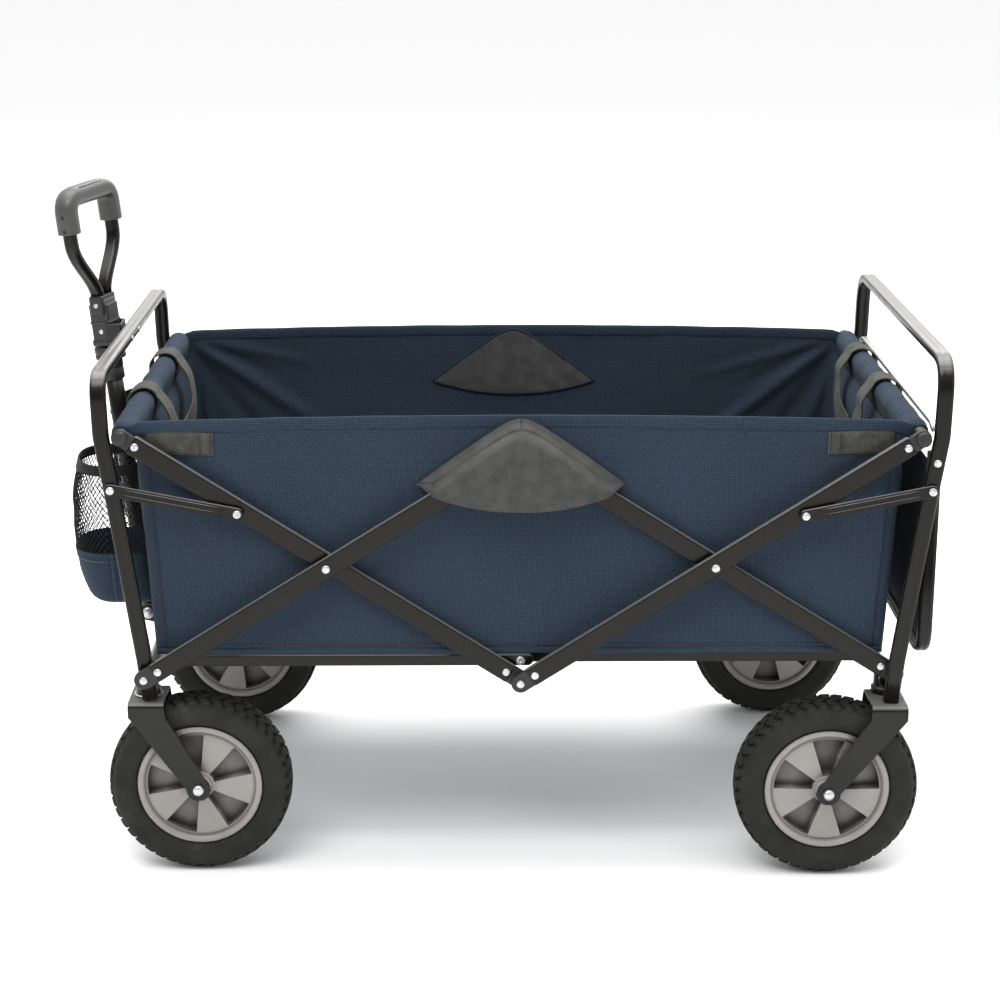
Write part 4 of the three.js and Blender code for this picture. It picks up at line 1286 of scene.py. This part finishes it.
def board():
    """Four stiff panels in one cloth cover, with a soft hinge between each two."""
    half_x, half_y, panels = 386.0, 226.0, 4
    low, high = 261.2, 267.6

    def crown(x, y):
        across = (x + half_x) / (2 * half_x) * panels
        inset = min(across % 1, 1 - across % 1) * 2 * half_x / panels
        edge = min(half_y - abs(y), half_x - abs(x))
        return smoothstep(-2, 9, inset) * smoothstep(-3, 8, edge)

    def lid(u, v):
        x, y = (2 * u - 1) * half_x, (2 * v - 1) * half_y
        puff = crown(x, y)
        return at(x, y, low + 2.2 + (high - low - 2.2) * puff + 0.35 * ripple(x, y, 28, 73) * puff)

    top = grid("board_top", lid, 160, 72, (2 * half_x * MM, 2 * half_y * MM))
    work = bmesh.new()
    work.from_mesh(top.data)
    base = bmesh.ops.extrude_face_region(work, geom=work.faces[:])
    for vert in [v for v in base["geom"] if isinstance(v, bmesh.types.BMVert)]:
        vert.co.z = low * MM
    bmesh.ops.recalc_face_normals(work, faces=work.faces)
    work.to_mesh(top.data)
    work.free()
    for polygon in top.data.polygons:
        polygon.use_smooth = True
    top.name = "floor_board_cover"
    return top


# ---------- cup pockets ----------

POCKET_X, POCKET_Y = -452.0, 141.0
POCKET_LOW, POCKET_FOOT, POCKET_TOP = 288.0, 354.0, 454.0
POCKET_WIDTH = 1.22
# how far the bag stands out in front, by height
POCKET_SHAPE = ((288.0, 12.0), (290.5, 20.0), (295.0, 26.0), (302.0, 30.5), (313.0, 34.5), (330.0, 38.6),
                (352.0, 41.6), (378.0, 43.4), (409.0, 43.4), (432.0, 40.0), (456.0, 33.5))


def pocket_reach(z):
    for (z0, r0), (z1, r1) in zip(POCKET_SHAPE, POCKET_SHAPE[1:]):
        if z <= z1:
            t = max(z - z0, 0.0) / (z1 - z0)
            return r0 + (r1 - r0) * t
    return POCKET_SHAPE[-1][1]


def pocket_spot(side, turn, z, grow=0.0):
    """A point on the bag: round in front, flat along the wall behind."""
    reach = pocket_reach(z)
    c, k = math.cos(turn), math.sin(turn)
    round_power = 2 / 2.3 if c < 0 else 2 / 3.6
    depth = reach + grow if c < 0 else -tub_half_length(min(z, 480.0)) - 1.8 - POCKET_X + 0.4 * grow
    x = math.copysign(abs(c) ** round_power, c) * depth
    y = math.copysign(abs(k) ** round_power, k) * (reach * POCKET_WIDTH + grow)
    swell = 1.0 * ripple(turn * 22, z, 24, 81 * side) * smoothstep(0, 30, z - POCKET_LOW)
    swell *= smoothstep(0.5, -0.2, c) * (1 - 0.6 * smoothstep(430, 450, z))
    drop = 2.0 * math.sin(turn + 0.6 * side) * smoothstep(400, 450, z)
    return at(POCKET_X + x - swell, side * POCKET_Y + y, z + drop * smoothstep(0.6, -0.3, c))


def pocket_wall(name, side, low, high, grow, rows, thickness):
    def spot(u, v):
        return pocket_spot(side, 2 * math.pi * u, low + (high - low) * v, grow)
    sheet = grid(name, spot, 88, rows, (0.33, (high - low) * MM), closed=True)
    return thicken(sheet, thickness)


def pocket_bag(side, name):
    """The closed cloth foot of a cup pocket."""
    middle = at(-428.0, side * POCKET_Y, POCKET_LOW - 1.5)
    verts, uvs, faces = [], [], []
    steps, rows = 88, 20
    rings = [(POCKET_LOW, share) for share in (0.03, 0.35, 0.7, 0.9)]
    rings += [(POCKET_LOW + (POCKET_FOOT - POCKET_LOW) * (i / rows) ** 1.5, 1.0) for i in range(rows + 1)]
    for z, share in rings:
        for s in range(steps):
            turn = 2 * math.pi * s / steps
            spot = middle.lerp(pocket_spot(side, turn, z), share)
            verts.append(spot)
            uvs.append((turn * 0.052, z * MM))
    for r in range(len(rings) - 1):
        for s in range(steps):
            s2 = (s + 1) % steps
            faces.append((r * steps + s, r * steps + s2, (r + 1) * steps + s2, (r + 1) * steps + s))
    faces.append(tuple(range(steps)))
    return thicken(add_mesh(name, verts, faces, uvs), 1.4)


def pocket_net(side, name):
    """Diamond netting: a lattice of faces, turned into strands."""
    low, high, columns, rows = POCKET_FOOT - 3, POCKET_TOP - 8, 54, 24
    verts, faces = [], []
    for r in range(rows + 1):
        for c in range(columns):
            turn = 2 * math.pi * (c + 0.5 * (r % 2)) / columns
            verts.append(pocket_spot(side, turn, low + (high - low) * r / rows, -0.4))
    for r in range(rows - 1):
        for c in range(columns):
            left = (c - 1 + (r % 2)) % columns
            right = (c + (r % 2)) % columns
            faces.append((r * columns + c, (r + 1) * columns + right, (r + 2) * columns + c,
                          (r + 1) * columns + left))
    net = add_mesh(name, verts, faces)
    wire = net.modifiers.new("strands", "WIREFRAME")
    wire.thickness = 1.25 * MM
    wire.use_even_offset = False
    wire.use_boundary = True
    return net


def pocket_stitches(side, name):
    """The dashed stitching under the foot's upper edge."""
    stitches = []
    count = 46
    for k in range(count):
        turns = [math.pi * (0.5 + (k + t) / count) for t in (0.15, 0.45, 0.75)]
        points = [pocket_spot(side, turn, POCKET_FOOT - 9.0, 1.0) for turn in turns]
        stitches.append(sweep("stitch", points, oval(0.55, 0.55, 6), (0, 0, 1)))
    return joined(name, stitches)


def cup_pocket(side_name):
    side = SIDES[side_name]
    stem = f"cup_pocket_{side_name}"
    rim = (POCKET_TOP - 11.0, POCKET_TOP)
    pieces = [
        (pocket_bag(side, f"{stem}_foot"), CANVAS, "canvas"),
        (pocket_wall(f"{stem}_foot_hem", side, POCKET_FOOT - 4, POCKET_FOOT + 1, 0.7, 3, 1.2), CANVAS, "canvas"),
        (pocket_stitches(side, f"{stem}_stitching"), PALE_THREAD, "canvas"),
        (pocket_net(side, f"{stem}_net"), NET, "pocket_mesh"),
        (pocket_wall(f"{stem}_rim", side, *rim, 0.8, 8, 2.0), BLACK_BAND, "pocket_mesh"),
    ]
    for piece, material, slot in pieces:
        finish(piece, "front_top_tube", material, slot)
        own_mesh(piece)
    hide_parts(stem)
    return [piece for piece, _, _ in pieces]


# ---------- the tub's pieces ----------

walls = on_tub(tub_walls(), CANVAS, "tub")
for side in (-1, 1):
    side_name = "left" if side < 0 else "right"
    on_tub(hem(side, f"tub_hem_{side_name}"), CANVAS)
    low_seam = [wall_spot(side, -390 + 780 * k / 60, 264.5, 1.0) for k in range(61)]
    on_tub(line_on_wall(f"tub_foot_seam_{side_name}", low_seam, 0.7), THREAD)
    foot = [at(-396 + 792 * k / 60, side * (WALL_Y + 0.6), 257.5 + 0.5 * ripple(k * 13, 0, 50, side))
            for k in range(61)]
    on_tub(sweep(f"tub_foot_hem_{side_name}", foot, oval(3.2, 1.7, 20, 2.5), (0, 0, 1)), CANVAS)
    pipes = []
    for end in (-1, 1):
        points = [wall_spot(side, end * (tub_half_length(z) - 13), z, 1.0)
                  for z in [262 + 236 * k / 30 for k in range(31)]]
        pipes.append(line_on_wall("pipe", points, 1.1))
    on_tub(joined(f"tub_corner_piping_{side_name}", pipes), PIPING)
    tabs = [wall_tab(end, side) for end in (-1, 1)]
    on_tub(joined(f"wall_tabs_{side_name}", tabs), WEBBING)
    trims = [tab_trim(end, side) for end in (-1, 1)]
    on_tub(joined(f"wall_tab_thread_{side_name}", trims), THREAD)
for end_name in ENDS:
    finish(sleeve(end_name), f"{end_name}_top_tube", CANVAS, "canvas")
    finish(carry_strap(end_name), f"{end_name}_top_tube", WEBBING, "canvas")

under = on_tub(tub_floor(), CANVAS)
panel_board = on_tub(board(), BOARD, "floor_board", slot="board_cloth")

for side in (-1, 1):
    side_name = "left" if side < 0 else "right"
    outer = on_tub(outer_patch(side), PATCH)
    band = on_tub(patch_fold(side), PATCH)
    pipe = on_tub(patch_piping(side, PATCH_HALF, PATCH_APEX, PATCH_CORNER_Z, PATCH_LOW,
                               lambda t: 3.6, f"outer_patch_piping_{side_name}"), PIPING)
    inner = on_tub(inner_patch(side), PATCH)
    bound = on_tub(inner_patch_binding(side), PIPING)

for side_name in SIDES:
    pocket = cup_pocket(side_name)

# ---------- pull handle ----------

HANDLE_FOOT = Vector((joint_at("handle_tilt")[0], 0, joint_at("handle_tilt")[1]))
HANDLE_LEAN = math.atan(0.104)
HANDLE_TURN = math.radians(20)


def on_handle(s, y=0.0, forward=0.0):
    """A point s mm up the leaning handle from its pivot."""
    up = Vector((-math.sin(HANDLE_LEAN), 0, math.cos(HANDLE_LEAN)))
    ahead = Vector((-math.cos(HANDLE_LEAN), 0, -math.sin(HANDLE_LEAN)))
    p = HANDLE_FOOT + up * s + ahead * forward
    return at(p.x, y, p.z)


def on_head(s, y=0.0, forward=0.0):
    """A point of the handle's head, which is turned about the tube with its left side forward."""
    c, k = math.cos(HANDLE_TURN), math.sin(HANDLE_TURN)
    return on_handle(s, y * c + forward * k, forward * c - y * k)


def handle_turned(name, profile, steps=40):
    """A turned piece along the handle from (radius, s) points."""
    thing = turned(name, profile, Vector((0, 0, 0)), "Z", steps, closed=False)
    turn = Matrix.Rotation(-HANDLE_LEAN, 4, "Y")
    thing.data.transform(Matrix.Translation(on_handle(0)) @ turn)
    return thing


def handle_block(name, low, high, edge=1.5):
    """A moulded block between two corners given as (forward, y, s)."""
    corners = [on_head(s, y, f) for s in (low[2], high[2]) for y in (low[1], high[1])
               for f in (low[0], high[0])]
    faces = [(0, 1, 3, 2), (4, 5, 7, 6), (0, 1, 5, 4), (2, 3, 7, 6), (0, 2, 6, 4), (1, 3, 7, 5)]
    return rounded_edges(add_mesh(name, corners, faces, [(v.y, v.z) for v in corners]), edge, 3)


def loop_path(steps=10):
    half = []
    for k in range(steps + 1):
        t = k / steps
        half.append(Vector((0, -(8.6 + 38.9 * smoothstep(0, 1, t) ** 0.9), 384 + 66 * t)))
    half += [Vector((0, -47.5, 462)), Vector((0, -47.5, 501))]
    mirror = [Vector((0, -p.y, p.z)) for p in reversed(half)]
    bent = rounded([half[-2], half[-1], mirror[0], mirror[1]], 26, 10)
    return [on_head(p.z, p.y) for p in half[:-2] + bent + mirror[2:]]


def pull_handle():
    tube = sweep("handle_lower_tube", [on_handle(s) for s in (-11, 60, 140, 220, 315)],
                 oval(9.9, 9.9, 40, 2.15), (1, 0, 0))
    finish(tube, "handle", FRAME_PAINT, "frame_steel", "handle_outer_tube")
    collar = [(7.8, 284), (11.6, 284), (12.6, 285.2), (12.6, 296), (12.0, 296.8), (12.0, 298.2), (12.7, 299),
              (12.7, 308), (17.2, 309), (17.6, 310.5), (17.6, 313.4), (16.6, 314.2), (16.6, 315.4),
              (17.6, 316.2), (17.6, 321.4), (16.2, 323), (7.8, 323)]
    button = dome("button", on_handle(245, 0, 9.6), (-1, 0, -0.104), 3.4, 2.4)
    finish(button, "handle", ZINC, "zinc")
    finish(handle_turned("handle_tube_collar", collar), "handle", INSERT, "black_plastic", "handle_collar")
    inner = sweep("handle_upper_tube", [on_handle(s) for s in (42, 150, 250, 349)],
                  oval(7.5, 7.5, 36, 2.15), (1, 0, 0))
    finish(inner, "handle_extension", FRAME_PAINT, "frame_steel", "handle_inner_tube")
    coupler = [handle_block("body", (-12.4, -12.8, 328), (12.4, 12.8, 374), 3.4),
               handle_block("crown", (-8.8, -16.0, 362), (8.8, 16.0, 384), 2.4),
               handle_block("skirt", (-13.6, -14.2, 324.5), (13.6, 14.2, 333), 1.8),
               handle_block("step", (-13.0, -14.0, 350), (13.0, 14.0, 355), 1.2)]
    thing = joined("handle_coupler_moulding", coupler)
    finish(thing, "handle_extension", BLACK, "black_plastic", "handle_coupler")
    plate = handle_block("handle_coupler_plate", (-9.6, -12.6, 366), (9.6, 12.6, 379), 1.4)
    finish(plate, "handle_extension", GRIP, "black_plastic")
    sideways = (on_head(0, 1) - on_head(0)).normalized()
    heads = [dome("screw", on_head(s, f * y), sideways * f, 2.8, 1.4, hole=1.2)
             for s, y in ((373, 15.8), (342, 12.6)) for f in (-1, 1)]
    finish(joined("handle_coupler_screws", heads), "handle_extension", ZINC, "zinc")
    path = loop_path()
    across = (on_head(0, 0, -1) - on_head(0)).normalized()
    loop = sweep("handle_loop_tube", path, oval(8.0, 6.0, 36, 2.5, groove=0.8), across)
    finish(loop, "handle_extension", FRAME_PAINT, "frame_steel", "handle_loop")
    low = on_handle(457).z
    held = [p for p in path if p.z > low]
    grip = sweep("handle_grip_moulding", held, oval(12.4, 10.8, 40, 2.6), across)
    finish(rounded_edges(grip, 1.2, 3, 50), "handle_extension", GRIP, "black_plastic", "handle_grip")
    lines = []
    for shift in (-7.4, 7.4):
        line = [on_head(510.8, y, -shift) for y in (-24, -12, 0, 12, 24)]
        lines.append(sweep("line", line, oval(0.8, 0.6, 8), across))
    finish(joined("handle_grip_lines", lines), "handle_extension", GRIP, "black_plastic")
    screws = [dome("screw", on_head(s, side * 58.0), sideways * side, 2.4, 1.2, hole=1.1)
              for side in (-1, 1) for s in (466, 482)]
    finish(joined("handle_grip_screws", screws), "handle_extension", BLACK, "black_plastic")


def handle_mount():
    """The bracket and bolt at the handle's foot, and the clip on the hoop."""
    back, x, z = -418.2, HANDLE_FOOT.x, HANDLE_FOOT.z
    parts = []
    for side in (-1, 1):
        outline = bar_outline((back - 2, z - 4), (x, z), 21)
        parts.append(side_plate("cheek", outline, *sorted((side * 12.3, side * 15.2))))
    parts.append(side_plate("web", [(back - 3.4, z - 15), (back, z - 15), (back, z + 9), (back - 3.4, z + 9)],
                            -15.2, 15.2))
    thing = joined("handle_foot_bracket", [rounded_edges(p, 0.8, 2) for p in parts])
    finish(thing, "front_frame", FRAME_PAINT, "frame_steel", "handle_bracket")
    bolt = [(0.02, -20), (5.4, -19.6), (7, -18.2), (7, -15.6), (4, -15.6), (4, 15.6), (7, 15.6), (7, 18.2),
            (5.4, 19.6), (0.02, 20)]
    pin = turned("handle_foot_bolt", bolt, at(x, 0, z), "Y", 24, closed=False)
    finish(pin, "front_frame", ZINC, "zinc", "handle_pivot_bolt")
    bar_top = FRONT_LEG[-1][1] + 5.5
    face = -FRONT_LEG[-1][0] - 8.5
    clip = []
    for low, high in (((face - 18.5, -18, bar_top - 15.5), (face - 0.4, -13.6, bar_top + 4.4)),
                      ((face - 18.5, 13.6, bar_top - 15.5), (face - 0.4, 18, bar_top + 4.4)),
                      ((face - 2.4, -18, bar_top - 13), (face - 0.4, 18, bar_top + 4.4))):
        outline = [(low[0], low[2]), (high[0], low[2]), (high[0], high[2]), (low[0], high[2])]
        clip.append(rounded_edges(side_plate("clip", outline, low[1], high[1]), 1.3, 3))
    thing = joined("handle_clip_moulding", clip)
    finish(thing, "front_frame", BLACK, "black_plastic", "handle_clip")
    heads = [dome("screw", at(face + 16.9, y, bar_top - 6.0), (1, 0, 0), 3.4, 1.8, hole=1.3)
             for y in (-47, 3)]
    finish(joined("handle_clip_screws", heads), "front_frame", ZINC, "zinc")


def rear_stay():
    """A slim bright bar that runs outside the rear sleeve, from one arm's end to the other."""
    x, z = TUBE[0] + 17.2, TUBE[1] + 7.5
    points = [at(x, -229, z - 5), at(x, -214, z), at(x, 0, z), at(x, 214, z), at(x, 229, z - 5)]
    section = oval(3.6, 3.0, 24, 3.2, groove=0.5, groove_width=0.8)
    bar = sweep("rear_stay", rounded(points, 0.01, 4), section, (1, 0, 0))
    finish(bar, "rear_top_tube", SATIN_STEEL, "zinc")


pull_handle()
handle_mount()
rear_stay()

# ---------- rear tray ----------

TRAY_X, TRAY_PIVOT_Z, TRAY_LOW = joint_at("tray_hinge")[0], joint_at("tray_hinge")[1], 256.0


def tray():
    y, top = 245.0, TRAY_PIVOT_Z + 9
    corners = [at(TRAY_X, -y, top), at(TRAY_X, -y, TRAY_LOW), at(TRAY_X, y, TRAY_LOW), at(TRAY_X, y, top)]
    path = rounded(corners, 30 * MM, 12)
    frame_tube = sweep("tray_frame_tube", path, oval(8, 5.4, 44, 2.6, groove=0.8), (1, 0, 0))
    finish(frame_tube, "tray", FRAME_PAINT, "frame_steel", "tray_frame")

    def spot(u, v):
        across = (2 * u - 1) * 239.5
        low = TRAY_LOW + 1 + 15 * smoothstep(215, 240, abs(across))
        z = low + (463 - low) * v
        pull = 2.2 * math.sin(math.pi * v) * math.cos(across / 160) + 1.3 * ripple(across, z, 60, 91)
        free = smoothstep(0, 18, 240 - abs(across)) * smoothstep(0, 14, z - low)
        return at(TRAY_X + pull * free, across, z)

    cloth = grid("tray_cloth", spot, 84, 36, (0.48, 0.2))
    thicken(cloth, 1.5)
    finish(cloth, "tray", CANVAS, "canvas", "tray_panel")
    hem_path = [at(TRAY_X, y2, 461) for y2 in (-238, -120, 0, 120, 238)]
    edge = sweep("tray_cloth_hem", hem_path, oval(5, 1.8, 20, 2.6), (0, 0, 1))
    finish(edge, "tray", CANVAS, "canvas")
    heads = [dome("rivet", at(TRAY_X, side * 262.6, TRAY_PIVOT_Z), (0, side, 0), 4.2, 2.0)
             for side in (-1, 1)]
    finish(joined("tray_rivets", heads), "rear_frame", ZINC, "zinc")


tray()

# ---------- light, floor and camera ----------

scene = bpy.context.scene
scene.view_settings.view_transform = "Standard"
floor = add_mesh("studio_floor", [(-18, -18, 0), (18, -18, 0), (18, 34, 0), (-18, 34, 0)], [(0, 1, 2, 3)])
pale = Finish("studio_paper", (0.965, 0.965, 0.965), 0.9, specular=0.1)
floor.data.materials.append(pale.material)


def lamp(name, place, target, size, power, colour=(1, 1, 1)):
    light = bpy.data.lights.new(name, "AREA")
    light.shape = "RECTANGLE"
    light.size, light.size_y = size
    light.energy = power
    light.color = colour
    holder = bpy.data.objects.new(name, light)
    holder.location = place
    aim = Vector(target) - Vector(place)
    holder.rotation_euler = aim.to_track_quat("-Z", "Y").to_euler()
    scene.collection.objects.link(holder)


lamp("overhead", (0, 0.6, 3.2), (0, 0.1, 0.3), (3.4, 2.4), 112)
lamp("key_front", (-0.9, -2.3, 3.4), (0, 0.1, 0.35), (2.2, 1.2), 48)
lamp("edge_strip", (0, -1.25, 2.9), (0, -0.2, 0.4), (3.6, 0.35), 22)
lamp("fill_right", (2.6, -2.0, 1.2), (0.1, 0, 0.3), (0.5, 1.8), 8)
lamp("rim_back", (0.4, 3.2, 2.2), (0, 0, 0.4), (3.0, 1.4), 30)

world = bpy.data.worlds.new("studio")
world.use_nodes = True
tree = world.node_tree
ray = tree.nodes.new("ShaderNodeTexCoord")
split = tree.nodes.new("ShaderNodeSeparateXYZ")
tree.links.new(ray.outputs["Generated"], split.inputs[0])
raised = tree.nodes.new("ShaderNodeMath")
raised.operation = "MULTIPLY_ADD"
raised.inputs[1].default_value = 1.5
tree.links.new(split.outputs["Z"], raised.inputs[0])
tree.links.new(split.outputs["Y"], raised.inputs[2])
fade = tree.nodes.new("ShaderNodeValToRGB")
stops = fade.color_ramp.elements
stops[0].position, stops[0].color = 0.05, (0.12, 0.12, 0.12, 1)
stops[1].position, stops[1].color = 0.75, (1, 1, 1, 1)
shifted = tree.nodes.new("ShaderNodeMath")
shifted.operation = "MULTIPLY_ADD"
shifted.inputs[1].default_value = 0.5
shifted.inputs[2].default_value = 0.4
tree.links.new(raised.outputs[0], shifted.inputs[0])
tree.links.new(shifted.outputs[0], fade.inputs[0])
background = tree.nodes["Background"]
tree.links.new(fade.outputs[0], background.inputs["Color"])
background.inputs["Strength"].default_value = 1.08
scene.world = world

LENS = 79.47
CAMERA_PLACE = (-48.84, -2508.17, 1088.01)
CAMERA_PITCH, CAMERA_YAW, CAMERA_ROLL = 0.28251, 0.01166, 0.00092
camera = bpy.data.cameras.new("camera")
camera.lens = LENS
camera.sensor_width = 36
camera.clip_end = 60
holder = bpy.data.objects.new("camera", camera)
holder.location = at(*CAMERA_PLACE)
turn = Matrix.Rotation(-CAMERA_YAW, 3, "Z") @ Matrix.Rotation(math.pi / 2 - CAMERA_PITCH, 3, "X")
holder.rotation_euler = (turn @ Matrix.Rotation(CAMERA_ROLL, 3, "Z")).to_euler()
scene.collection.objects.link(holder)
scene.camera = holder
